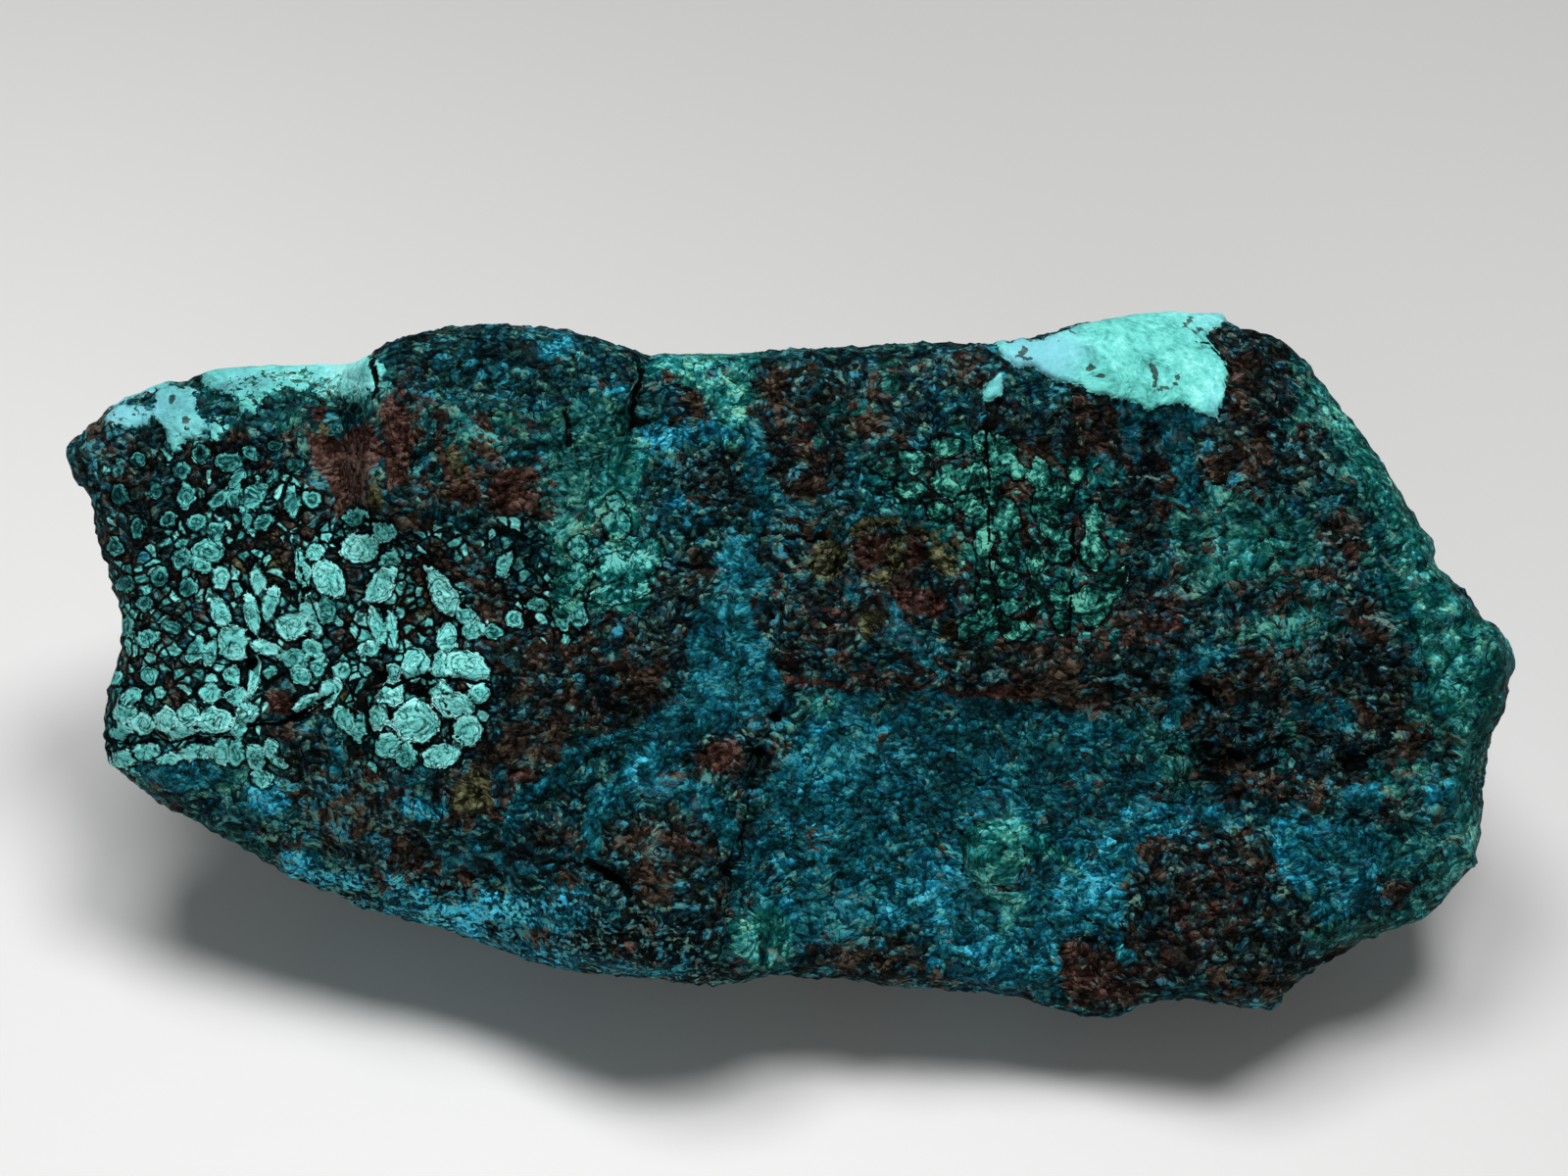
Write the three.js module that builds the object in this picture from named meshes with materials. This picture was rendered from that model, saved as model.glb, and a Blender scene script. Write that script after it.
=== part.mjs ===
// A raw piece of chrysocolla: one loose stone, resting on a broad fracture at its foot.
//
// Millimetres, +Z up. X runs along the stone, its broad face looks towards -Y and up, and the
// origin is on the ground, under the middle of the stone's bounding box.
//
// The stone is one solid. Its surface is where a field changes sign: the field is negative
// inside, and it joins the stone's outline, the facets and lumps of the broad face, and the
// fractures behind and below. A net of small quads is laid over that surface and evened out.

import * as THREE from "three";
import { ImprovedNoise } from "three/addons/math/ImprovedNoise.js";

// ---------------------------------------------------------------- driving dimensions

// The broad face has a frame of its own: u to the right, v up the face, w out of it.
const FACE_ELEVATION = THREE.MathUtils.degToRad(50); // how far above the horizon the face looks
const FACE_HEIGHT = 26.4; // from the ground to the middle of the face frame
const RIM_W = -5; // where the stone is widest, behind the face frame's own plane
const TAPER_CENTRE = 5.7; // the v towards which the sides close in front of the rim
const TAPER = 0.0037; // how much they close, per millimetre of w
const CROWN_W = 3; // how far the middle of the face stands out of that plane

// Points round the stone's rim in (u, v), clockwise from the left end's upper corner.
const RIM = [
  [-51.8, 16.1], [-50.0, 18.3], [-48.3, 19.5], [-44.4, 20.9], [-39.3, 21.4], [-33.6, 21.7],
  [-30.2, 21.5], [-29.9, 23.0], [-27.6, 23.9], [-24.6, 24.6], [-20.7, 24.8], [-15.0, 24.1],
  [-12.1, 23.4], [-10.4, 22.6], [-4.6, 22.6], [3.6, 23.1], [10.7, 23.6], [17.5, 23.5],
  [21.4, 24.6], [27.9, 25.9], [31.4, 26.1], [35.7, 25.3], [37.7, 24.3], [39.4, 21.3],
  [42.7, 16.3], [45.3, 12.0], [47.6, 7.1], [50.0, 4.9], [51.1, 2.7], [52.7, 1.1],
  [52.9, -0.9], [52.5, -3.0], [51.0, -5.6], [50.9, -11.3], [50.3, -12.2], [50.9, -13.6],
  [48.6, -16.8], [47.5, -18.4], [44.6, -19.1], [38.9, -21.6], [36.6, -23.3], [35.9, -24.7],
  [34.4, -24.9], [30.7, -24.1], [27.5, -23.9], [25.0, -25.3], [23.6, -26.1], [20.4, -25.3],
  [15.7, -23.7], [7.5, -23.3], [-0.9, -22.4], [-3.9, -23.3], [-10.7, -22.6], [-17.1, -21.8],
  [-23.6, -19.9], [-30.7, -17.9], [-36.4, -15.4], [-44.3, -10.7], [-49.7, -7.0], [-49.4, -1.6],
  [-48.1, 1.2], [-48.1, 4.1], [-49.4, 8.6], [-51.5, 13.7],
];

// Facets of the broad face. Each is a plane through a point (u, v, w) that falls away in the
// direction "downhill", measured in the face from +u towards +v, at the angle "slope".
const FACETS = [
  { name: "middle", through: [0, 0, CROWN_W], downhill: 90, slope: 2 },
  { name: "left end", through: [-22, 0, CROWN_W], downhill: 180, slope: 8 },
  { name: "right end", through: [30, 2, CROWN_W], downhill: 10, slope: 10 },
  { name: "lower right", through: [16, -2, CROWN_W - 0.6], downhill: -78, slope: 11 },
  { name: "lower left", through: [-33, -7.5, CROWN_W - 1.6], downhill: -112, slope: 33 },
  { name: "turquoise skin", through: [24, 20.2, CROWN_W - 0.8], downhill: 62, slope: 42 },
  { name: "upper left", through: [-40, 18.2, CROWN_W - 2.6], downhill: 100, slope: 46 },
  { name: "right bevel", through: [42.2, 13, CROWN_W - 1.8], downhill: 25, slope: 40 },
  { name: "right corner", through: [48.9, -9, CROWN_W - 3], downhill: -20, slope: 46 },
  { name: "lower corner", through: [41, -19, CROWN_W - 3.4], downhill: -62, slope: 44 },
];
const FACET_BLEND = 1.1; // how softly neighbouring facets meet

// Blocks that stand out of the broad face. A block has a flat top through (u, v, w) that leans
// downhill like a facet, and walls: each is [direction, distance from the middle, slope].
const BLOCKS = [
  {
    name: "knob",
    top: { through: [-20.5, 18, 6.3], downhill: 80, slope: 5 },
    walls: [
      [178, 8.4, 66], [-140, 9.5, 44], [-96, 7, 25], [-45, 9, 36],
      [-8, 8, 44], [48, 8, 40], [92, 5, 36],
    ],
  },
  {
    name: "lower middle lump",
    top: { through: [-9, -14.5, 4.3], downhill: -100, slope: 8 },
    walls: [[4, 4.2, 46], [-80, 5, 34], [-150, 4.6, 40], [150, 4.4, 30], [80, 4.6, 30]],
  },
  {
    name: "lower right lump",
    top: { through: [31, -17.2, 1.9], downhill: -60, slope: 10 },
    walls: [[170, 4.6, 42], [100, 4.4, 36], [30, 5, 40], [-35, 5.2, 40], [-120, 4.8, 34]],
  },
  {
    name: "blue lump",
    top: { through: [41.5, -12.2, 0.9], downhill: -30, slope: 12 },
    walls: [[165, 3.6, 44], [80, 3.4, 38], [15, 4.2, 40], [-60, 3.2, 44], [-130, 3.6, 34]],
  },
  {
    name: "right shoulder",
    top: { through: [47.8, 1.2, 1.5], downhill: 20, slope: 14 },
    walls: [[176, 3.2, 52], [118, 4.4, 34], [-90, 5, 46], [-150, 4.4, 46], [10, 2.4, 44]],
  },
];
const BLOCK_BLEND = 0.9;

// Lumps and hollows of the broad face: centre (u, v), half sizes along and across, the turn of
// the long side from +u, the rise, and the share of the half size over which it falls to nothing.
const LUMPS = [
  { name: "hollow beside the knob", at: [-33, 15.5], half: [3.4, 6.6], turn: 8, rise: -1.4, fade: 0.8 },
  { name: "left field", at: [-37, 5], half: [10, 8], turn: 0, rise: 0.7, fade: 0.8 },
  { name: "cell mound", at: [-25.2, -3.3], half: [6.4, 5.6], turn: 0, rise: 1.1, fade: 0.6 },
  { name: "green mound", at: [-12.2, 6.4], half: [5.4, 5.2], turn: 0, rise: 1.1, fade: 0.7 },
  { name: "groove beside the knob", at: [-9.6, 17.5], half: [2.2, 6.4], turn: -14, rise: -1.0, fade: 1 },
  { name: "eye", at: [6.8, 5.8], half: [5.6, 4.4], turn: 10, rise: -1.3, fade: 0.8 },
  { name: "eye's brow", at: [6.5, 11.2], half: [8.5, 2.6], turn: 8, rise: 0.9, fade: 0.8 },
  { name: "green cells", at: [19.4, 8.4], half: [6.4, 7.4], turn: 0, rise: 0.9, fade: 0.7 },
  { name: "pocket", at: [-13.6, -15.8], half: [1.7, 3.4], turn: 24, rise: -1.1, fade: 1 },
  { name: "nodule", at: [15.7, -13.4], half: [3.1, 3.1], turn: 0, rise: 1.5, fade: 0.6 },
  { name: "lower hollow", at: [10, -8], half: [9, 4], turn: -6, rise: -0.7, fade: 0.8 },
  { name: "dark hollow", at: [36, -5], half: [8, 4], turn: -8, rise: -1.0, fade: 0.8 },
  { name: "upper right knoll", at: [35.2, 20.5], half: [4, 4.6], turn: 0, rise: 1.1, fade: 0.6 },
];

// Ledges of the broad face: on the right-hand side of the way from "from" to "to" the face is
// lower by "drop", and climbs back over the distance "fade".
const LEDGES = [
  { name: "shelf", from: [2, -2.6], to: [31, -1.0], drop: 1.4, fade: 7 },
  { name: "left lip", from: [-49, -4.8], to: [-28.5, -6.2], drop: 1.0, fade: 4 },
];
const LEDGE_WIDTH = 2.4; // from the top of a ledge to its foot

// Fractures behind and below, in the part's own directions. Each is a plane that looks towards
// "azimuth", from +X towards +Y, and "elevation", and lies "reach" from the stone's heart.
const FRACTURES = [
  { name: "back", azimuth: 84, elevation: -6, reach: 21.2 },
  { name: "back left", azimuth: 122, elevation: 4, reach: 38.8 },
  { name: "back right", azimuth: 52, elevation: -8, reach: 35 },
  { name: "top back", azimuth: 97, elevation: 24, reach: 28 },
  { name: "top right", azimuth: 66, elevation: 30, reach: 37.6 },
  { name: "heel left", azimuth: 134, elevation: -34, reach: 29 },
  { name: "heel", azimuth: 86, elevation: -40, reach: 23.5 },
  { name: "heel right", azimuth: 34, elevation: -36, reach: 34 },
  { name: "left keel", azimuth: 204, elevation: -44, reach: 37.5 },
  { name: "left end", azimuth: 172, elevation: -22, reach: 47.5 },
  { name: "right keel", azimuth: -24, elevation: -48, reach: 40.7 },
  { name: "right end", azimuth: 16, elevation: -20, reach: 47.5 },
  { name: "front keel", azimuth: -86, elevation: -74, reach: 21 },
];
const HEART = [0, -1, -10]; // the stone's heart, in (u, v, w)
const FRACTURE_BLEND = 2.2;
const DRAFT = 0.2; // how fast the sides draw in behind the rim
const EDGE_BLEND = 2.2; // how softly the broad face turns into the sides
const FOOT_BLEND = 0.7; // how softly the sides turn into the flat that it rests on

// Roughness of the broken surface: swells and chips by size and by how far they stand out.
const SWELLS = [
  { size: 13, rise: 0.8 },
  { size: 5.4, rise: 0.45 },
];
const CHIPS = [
  { size: 10, rise: 3.4 },
  { size: 4.6, rise: 1.3 },
];
const CHIP_CUT = 0.55; // the squared distance, in cells, at which the ridges are cut off
const CHIP_MIDDLE = 0.25; // and the one that stands out by nothing
const FACE_CHIPS = 0.5; // the share of the chips' rise that the broad face has
const RIM_CALM = 0.85; // the share of the roughness that is held back at the rim
const RIM_CALM_ACROSS = 1.8; // how far the calm reaches into the face
const RIM_CALM_BEHIND = 3.5; // and how far it reaches back along the sides

const NET_CELL = 2.0; // the size of the net's cells
const NET_LOW = [-57, -28, -3]; // the corners of the box that the net is laid in
const NET_HIGH = [57, 36, 51];
const FILLING_PASSES = 3; // times the grid's pinched squares are filled in
const EVENING_PASSES = 3; // times the mesh is evened out
const EVENING_SHARE = 0.5;
const FOOT_FLATNESS = 0.06; // what is this near to the ground lies on it
const STONE_COLOUR = 0x1f3f42;

// ---------------------------------------------------------------- small helpers

const radians = THREE.MathUtils.degToRad;
const smoothstep = THREE.MathUtils.smoothstep;
const noise = new ImprovedNoise();

// The larger of two values, with the corner between them rounded over "blend".
function softMax(a, b, blend) {
  const overlap = Math.max(blend - Math.abs(a - b), 0) / blend;
  return Math.max(a, b) + overlap * overlap * blend * 0.25;
}

function softMin(a, b, blend) {
  return -softMax(-a, -b, blend);
}

// ---------------------------------------------------------------- the face's own frame

const FACE_V = new THREE.Vector3(0, Math.sin(FACE_ELEVATION), Math.cos(FACE_ELEVATION));
const FACE_W = new THREE.Vector3(0, -Math.cos(FACE_ELEVATION), Math.sin(FACE_ELEVATION));
const FACE_CENTRE = new THREE.Vector3(0, 0, FACE_HEIGHT);

function faceToPart([u, v, w]) {
  return new THREE.Vector3(u, 0, 0).addScaledVector(FACE_V, v).addScaledVector(FACE_W, w).add(FACE_CENTRE);
}

function partToFace(point) {
  const fromCentre = point.clone().sub(FACE_CENTRE);
  return [fromCentre.x, fromCentre.dot(FACE_V), fromCentre.dot(FACE_W)];
}

// ---------------------------------------------------------------- the outline

// Signed distance from (u, v) to the rim's outline, negative inside it.
function rimDistance(u, v) {
  let nearest = Infinity;
  let inside = false;
  RIM.forEach(([u0, v0], i) => {
    const [u1, v1] = RIM[(i + 1) % RIM.length];
    const along = ((u - u0) * (u1 - u0) + (v - v0) * (v1 - v0)) / ((u1 - u0) ** 2 + (v1 - v0) ** 2);
    const t = THREE.MathUtils.clamp(along, 0, 1);
    nearest = Math.min(nearest, Math.hypot(u - u0 - t * (u1 - u0), v - v0 - t * (v1 - v0)));
    if (v0 > v !== v1 > v && u < u0 + ((v - v0) * (u1 - u0)) / (v1 - v0)) inside = !inside;
  });
  return inside ? -nearest : nearest;
}

// ---------------------------------------------------------------- the broad face

function facetHeight(facet, u, v) {
  const [u0, v0, w0] = facet.through;
  const turn = radians(facet.downhill);
  const down = (u - u0) * Math.cos(turn) + (v - v0) * Math.sin(turn);
  return w0 - down * Math.tan(radians(facet.slope));
}

function lumpHeight(lump, u, v) {
  const turn = radians(lump.turn);
  const along = (u - lump.at[0]) * Math.cos(turn) + (v - lump.at[1]) * Math.sin(turn);
  const across = (v - lump.at[1]) * Math.cos(turn) - (u - lump.at[0]) * Math.sin(turn);
  const reach = Math.hypot(along / lump.half[0], across / lump.half[1]);
  return lump.rise * (1 - smoothstep(reach, 1 - lump.fade, 1 + lump.fade * 0.5));
}

function ledgeHeight(ledge, u, v) {
  const du = ledge.to[0] - ledge.from[0];
  const dv = ledge.to[1] - ledge.from[1];
  const length = Math.hypot(du, dv);
  const along = ((u - ledge.from[0]) * du + (v - ledge.from[1]) * dv) / length;
  const aside = ((u - ledge.from[0]) * dv - (v - ledge.from[1]) * du) / length;
  const step = smoothstep(aside, -LEDGE_WIDTH / 2, LEDGE_WIDTH / 2);
  const climb = smoothstep(aside, LEDGE_WIDTH / 2, ledge.fade);
  const ends = smoothstep(along, -2, 3) * (1 - smoothstep(along, length - 3, length + 2));
  return -ledge.drop * (step - climb) * ends;
}

function blockHeight({ top, walls }, u, v) {
  const [u0, v0, w0] = top.through;
  let height = facetHeight(top, u, v);
  for (const [direction, distance, slope] of walls) {
    const turn = radians(direction);
    const foot = [u0 + distance * Math.cos(turn), v0 + distance * Math.sin(turn), w0];
    const wall = facetHeight({ through: foot, downhill: direction, slope }, u, v);
    height = softMin(height, wall, BLOCK_BLEND);
  }
  return height;
}

// How far the broad face stands out of the face frame's plane at (u, v).
function faceHeight(u, v) {
  let height = Infinity;
  for (const facet of FACETS) height = softMin(height, facetHeight(facet, u, v), FACET_BLEND);
  for (const lump of LUMPS) height += lumpHeight(lump, u, v);
  for (const ledge of LEDGES) height += ledgeHeight(ledge, u, v);
  for (const block of BLOCKS) height = softMax(height, blockHeight(block, u, v), BLOCK_BLEND);
  return height;
}

// ---------------------------------------------------------------- the broken surface

// The middle of one cell of a lattice of cells, moved off its lattice point by chance.
const cellCentres = new Map();
function cellCentre(i, j, k) {
  const key = `${i},${j},${k}`;
  if (!cellCentres.has(key)) {
    const seed = 7 + 131 * (i + 40) + 17389 * (j + 40) + 2305843 * (k + 40);
    const jitter = [THREE.MathUtils.seededRandom(seed), THREE.MathUtils.seededRandom()];
    jitter.push(THREE.MathUtils.seededRandom());
    cellCentres.set(key, [i + jitter[0], j + jitter[1], k + jitter[2]]);
  }
  return cellCentres.get(key);
}

// Squared distance from a point to the nearest cell's middle, in cells: hollow chips that meet
// in ridges, which are cut off flat where they would be sharp.
function chipHeight(x, y, z) {
  let nearest = Infinity;
  for (let i = Math.floor(x) - 1; i <= Math.floor(x) + 1; i++) {
    for (let j = Math.floor(y) - 1; j <= Math.floor(y) + 1; j++) {
      for (let k = Math.floor(z) - 1; k <= Math.floor(z) + 1; k++) {
        const [cx, cy, cz] = cellCentre(i, j, k);
        nearest = Math.min(nearest, (x - cx) ** 2 + (y - cy) ** 2 + (z - cz) ** 2);
      }
    }
  }
  return Math.min(nearest, CHIP_CUT) - CHIP_MIDDLE;
}

// ---------------------------------------------------------------- the whole stone

const HEART_POINT = faceToPart(HEART);
const FRACTURE_PLANES = FRACTURES.map(({ azimuth, elevation, reach }) => {
  const level = Math.cos(radians(elevation));
  const normal = new THREE.Vector3(
    level * Math.cos(radians(azimuth)),
    level * Math.sin(radians(azimuth)),
    Math.sin(radians(elevation)),
  );
  return new THREE.Plane(normal, -normal.dot(HEART_POINT) - reach);
});

function roughness({ x, y, z }, chipShare) {
  let height = 0;
  for (const { size, rise } of SWELLS) height += rise * noise.noise(x / size, y / size, z / size);
  for (const { size, rise } of CHIPS) height += chipShare * rise * chipHeight(x / size, y / size, z / size);
  return height;
}

// How much of the roughness a point near the rim keeps, from its distance to the rim's outline.
function calming(rim, w) {
  const across = rim / RIM_CALM_ACROSS;
  const behind = Math.min(0, w - RIM_W) / RIM_CALM_BEHIND;
  return 1 - RIM_CALM * Math.exp(-(across * across + behind * behind) / 2);
}

// Negative inside the stone, and rising outwards.
function field(point) {
  const [u, v, w] = partToFace(point);
  const closing = 1 + TAPER * Math.max(0, w - RIM_W);
  const rim = rimDistance(u * closing, TAPER_CENTRE + (v - TAPER_CENTRE) * closing);
  const side = rim + DRAFT * Math.max(0, RIM_W - w);
  const front = w - faceHeight(u, v);
  let value = softMax(side, front, EDGE_BLEND);
  for (const plane of FRACTURE_PLANES) {
    value = softMax(value, plane.distanceToPoint(point), FRACTURE_BLEND);
  }
  const chipShare = 1 - (1 - FACE_CHIPS) * smoothstep(front - side, -3, 1);
  value -= calming(rim, w) * roughness(point, chipShare);
  return softMax(value, -point.z, FOOT_BLEND);
}

// The field's slope at a point where its value is known.
function fieldSlope(point, value) {
  const NUDGE = 0.02;
  return new THREE.Vector3(
    field(point.clone().setX(point.x + NUDGE)) - value,
    field(point.clone().setY(point.y + NUDGE)) - value,
    field(point.clone().setZ(point.z + NUDGE)) - value,
  ).divideScalar(NUDGE);
}

// Moves a point near the surface onto it, along the field's slope.
function settle(point) {
  for (let step = 0; step < 8; step++) {
    const value = field(point);
    if (Math.abs(value) < 1e-3) break;
    const slope = fieldSlope(point, value);
    point.addScaledVector(slope, (-0.8 * value) / Math.max(slope.lengthSq(), 0.25));
  }
}

// The four cells round a cell's low corner that lie in one layer across an axis.
function squareAt(cell, axis) {
  return [[0, 0], [1, 0], [1, 1], [0, 1]].map(([back, aside]) => {
    const corner = [...cell];
    corner[(axis + 1) % 3] -= back;
    corner[(axis + 2) % 3] -= aside;
    return corner;
  });
}

// Fills in a square of the grid that is solid only along one diagonal: a net would pinch there.
function fillPinch(solid, [a, b, c, d]) {
  const pinched = solid[a] === solid[c] && solid[b] === solid[d] && solid[a] !== solid[b];
  if (pinched) [a, b, c, d].forEach((corner) => (solid[corner] = true));
}

// A net over the field's surface: a vertex in each cell of a grid that the surface passes
// through, and a quad across each edge of the grid that it cuts, seen from outside.
function surfaceNet() {
  const spans = NET_LOW.map((low, axis) => NET_HIGH[axis] - low);
  const [columns, rows, layers] = spans.map((span) => Math.ceil(span / NET_CELL));
  const index = (i, j, k) => i + columns * (j + rows * k);
  const place = (cell, half) => {
    return new THREE.Vector3(...cell.map((n, axis) => NET_LOW[axis] + (n + half) * NET_CELL));
  };
  const solid = new Array(columns * rows * layers).fill(false);
  const points = [];
  const quads = [];
  const vertexOf = new Map();
  const vertexIn = (cell) => {
    const key = index(...cell);
    if (!vertexOf.has(key)) vertexOf.set(key, points.push(place(cell, 0.5)) - 1);
    return vertexOf.get(key);
  };
  const forEachCell = (visit) => {
    for (let k = 1; k < layers - 1; k++) {
      for (let j = 1; j < rows - 1; j++) {
        for (let i = 1; i < columns - 1; i++) visit([i, j, k]);
      }
    }
  };
  forEachCell((cell) => {
    solid[index(...cell)] = field(place(cell, 0)) < 0;
  });
  for (let pass = 0; pass < FILLING_PASSES; pass++) {
    forEachCell((cell) => {
      for (const axis of [0, 1, 2]) {
        fillPinch(solid, squareAt(cell, axis).map((corner) => index(...corner)));
      }
    });
  }
  forEachCell((cell) => {
    for (const axis of [0, 1, 2]) {
      const next = cell.with(axis, cell[axis] + 1);
      if (solid[index(...cell)] === solid[index(...next)]) continue;
      const ring = squareAt(cell, axis).map(vertexIn);
      quads.push(solid[index(...cell)] ? ring : ring.reverse());
    }
  });
  return { points, quads };
}

// For each vertex, the vertices it shares an edge with.
function neighbourRings(points, quads) {
  const rings = points.map(() => new Set());
  for (const quad of quads) {
    quad.forEach((vertex, i) => rings[vertex].add(quad[(i + 1) % 4]).add(quad[(i + 3) % 4]));
  }
  return rings;
}

// Evens out the mesh: each vertex moves part of the way to the middle of its neighbours, and
// then back to the surface.
function evenOut(points, rings) {
  const middles = rings.map((ring) => {
    const middle = new THREE.Vector3();
    for (const neighbour of ring) middle.addScaledVector(points[neighbour], 1 / ring.size);
    return middle;
  });
  points.forEach((point, i) => {
    point.lerp(middles[i], EVENING_SHARE);
    settle(point);
  });
}

// The two triangles of a quad, split along its shorter diagonal.
function quadTriangles(points, [a, b, c, d]) {
  const acrossAC = points[a].distanceTo(points[c]);
  return acrossAC < points[b].distanceTo(points[d]) ? [a, b, c, a, c, d] : [b, c, d, b, d, a];
}

function stoneGeometry() {
  const { points, quads } = surfaceNet();
  const rings = neighbourRings(points, quads);
  points.forEach(settle);
  for (let pass = 0; pass < EVENING_PASSES; pass++) evenOut(points, rings);
  const corners = points.flatMap(({ x, y, z }) => [x, y, z < FOOT_FLATNESS ? 0 : z]);
  const geometry = new THREE.BufferGeometry();
  geometry.setAttribute("position", new THREE.Float32BufferAttribute(corners, 3));
  geometry.setIndex(quads.flatMap((quad) => quadTriangles(points, quad)));
  return standOnOrigin(geometry);
}

// Moves the stone so that the origin is on the ground under the middle of its box.
function standOnOrigin(geometry) {
  geometry.computeBoundingBox();
  const { min, max } = geometry.boundingBox;
  geometry.translate(-(min.x + max.x) / 2, -(min.y + max.y) / 2, -min.z);
  geometry.computeVertexNormals();
  return geometry;
}

const material = new THREE.MeshStandardMaterial({
  name: "chrysocolla",
  color: STONE_COLOUR,
  roughness: 0.62,
  metalness: 0,
  flatShading: true,
});
const stone = new THREE.Mesh(stoneGeometry(), material);
stone.name = "stone";

const specimen = new THREE.Group();
specimen.name = "raw_chrysocolla";
specimen.add(stone);

export default specimen;
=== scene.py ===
"""The looks of a raw chrysocolla stone: its broken surface, its minerals and the studio around it."""

import logging
import math
from collections.abc import Sequence
from dataclasses import dataclass, fields
from enum import Enum
from typing import Any

import bmesh
import bpy
import numpy as np
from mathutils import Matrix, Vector, noise


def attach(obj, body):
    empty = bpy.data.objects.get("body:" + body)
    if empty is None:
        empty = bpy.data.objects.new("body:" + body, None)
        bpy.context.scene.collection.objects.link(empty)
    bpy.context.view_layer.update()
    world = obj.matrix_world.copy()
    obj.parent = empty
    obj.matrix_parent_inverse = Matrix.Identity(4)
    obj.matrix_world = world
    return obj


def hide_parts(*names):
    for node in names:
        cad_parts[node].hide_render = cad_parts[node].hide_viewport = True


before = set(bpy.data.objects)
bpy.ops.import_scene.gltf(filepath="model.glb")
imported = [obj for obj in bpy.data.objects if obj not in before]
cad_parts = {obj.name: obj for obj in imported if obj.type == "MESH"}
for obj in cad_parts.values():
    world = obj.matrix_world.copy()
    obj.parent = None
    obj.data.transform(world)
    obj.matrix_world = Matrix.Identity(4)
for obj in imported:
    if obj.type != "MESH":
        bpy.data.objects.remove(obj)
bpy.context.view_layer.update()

LOG = logging.getLogger("chrysocolla")
MM = 0.001
PIXELS_PER_MM = 13.8  # of the picture, at the middle of the face
FAR = 1e4  # farther than anything in the picture, in pixels
FACE_LIGHT = 0.8  # the light on the broad face, where 1 shows a white surface as white
SKIN_THICKNESS = 0.35  # how far the pale skin stands over what it covers, in millimetres
CELL_CORNERS = 0.74  # how blunt the cells' corners are: 0.5 makes a rectangle and 1 a diamond

Colour = tuple[float, float, float]
Place = tuple[float, float]
Range = tuple[float, float]  # where something starts and where it is whole
Palette = tuple[tuple[float, Colour], ...]


def linear(red: int, green: int, blue: int, lit: float = 1.0) -> Colour:
    """A colour given as it looks on a screen, 0 to 255, in the linear numbers that shaders take.

    The curve between the two is the sRGB standard's.

    Args:
        red: The red of it.
        green: The green of it.
        blue: The blue of it.
        lit: How strongly it is lit where it looks so.

    Returns:
        The linear colour of the surface, 0 to 1.
    """
    shares = (red / 255, green / 255, blue / 255)
    return tuple((s / 12.92 if s <= 0.04045 else ((s + 0.055) / 1.055) ** 2.4) / lit for s in shares)


def stone_colour(red: int, green: int, blue: int) -> Colour:
    """A colour as it looks on the stone's broad face, under the studio's light, 0 to 255."""
    return linear(red, green, blue, FACE_LIGHT)


def smooth(share: np.ndarray) -> np.ndarray:
    """Eases values from 0 to 1 at both ends, and holds those outside that range."""
    share = np.clip(share, 0, 1)
    return share * share * (3 - 2 * share)


def between(values: np.ndarray, low: float, high: float) -> np.ndarray:
    """Goes smoothly from 0 to 1 while the values go from low to high."""
    return smooth((values - low) / (high - low))


def put(name: str, data: Any) -> bpy.types.Object:
    """Makes an object of its data and puts it in the scene."""
    thing = bpy.data.objects.new(name, data)
    bpy.context.scene.collection.objects.link(thing)
    return thing


def evaluated_mesh(piece: bpy.types.Object) -> bpy.types.Mesh:
    """A new mesh: a piece's own, after its modifiers."""
    evaluated = piece.evaluated_get(bpy.context.evaluated_depsgraph_get())
    return bpy.data.meshes.new_from_object(evaluated)


# ---- The view. Places on the stone's face are given in pixels of the picture that it takes. ----


@dataclass(frozen=True)
class Viewpoint:
    """The camera: it looks along +Y and down, square at the broad face. Lengths are in millimetres."""

    aim: tuple[float, float, float] = (-0.58, 4.41, 23.19)
    distance: float = 273.46
    elevation: float = 50.0
    lens: float = 85.0
    sensor: float = 36.0
    clip_start: float = 10.0
    width: int = 1600
    height: int = 1200

    def axes(self) -> np.ndarray:
        """The picture's right, its up, and the way from the aim to the camera, as rows."""
        lean = math.radians(self.elevation)
        up = [0, math.sin(lean), math.cos(lean)]
        back = [0, -math.cos(lean), math.sin(lean)]
        return np.array([[1, 0, 0], up, back])

    def pixels(self, points: np.ndarray) -> np.ndarray:
        """Where points of the stone are in the picture.

        Args:
            points: The points, in millimetres, one a row.

        Returns:
            Pixels from the picture's left and from its top, one point a row.
        """
        turned = (points - np.array(self.aim)) @ self.axes().T
        scale = self.lens / self.sensor * self.width / (self.distance - turned[:, 2])
        across = self.width / 2 + turned[:, 0] * scale
        down = self.height / 2 - turned[:, 1] * scale
        return np.stack([across, down], axis=1)

    def place_camera(self) -> bpy.types.Object:
        """Makes the camera and gives it to the scene.

        Returns:
            The camera.
        """
        data = bpy.data.cameras.new("camera")
        data.lens = self.lens
        data.sensor_width = self.sensor
        data.clip_start = self.clip_start * MM
        camera = put("camera", data)
        camera.location = (Vector(self.aim) + Vector(self.axes()[2]) * self.distance) * MM
        camera.rotation_euler = (math.radians(90 - self.elevation), 0, 0)
        bpy.context.scene.camera = camera
        return camera


# ---- Marks: the shapes that a mineral, a crack or a pit has on the face, in picture pixels. ----


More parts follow.
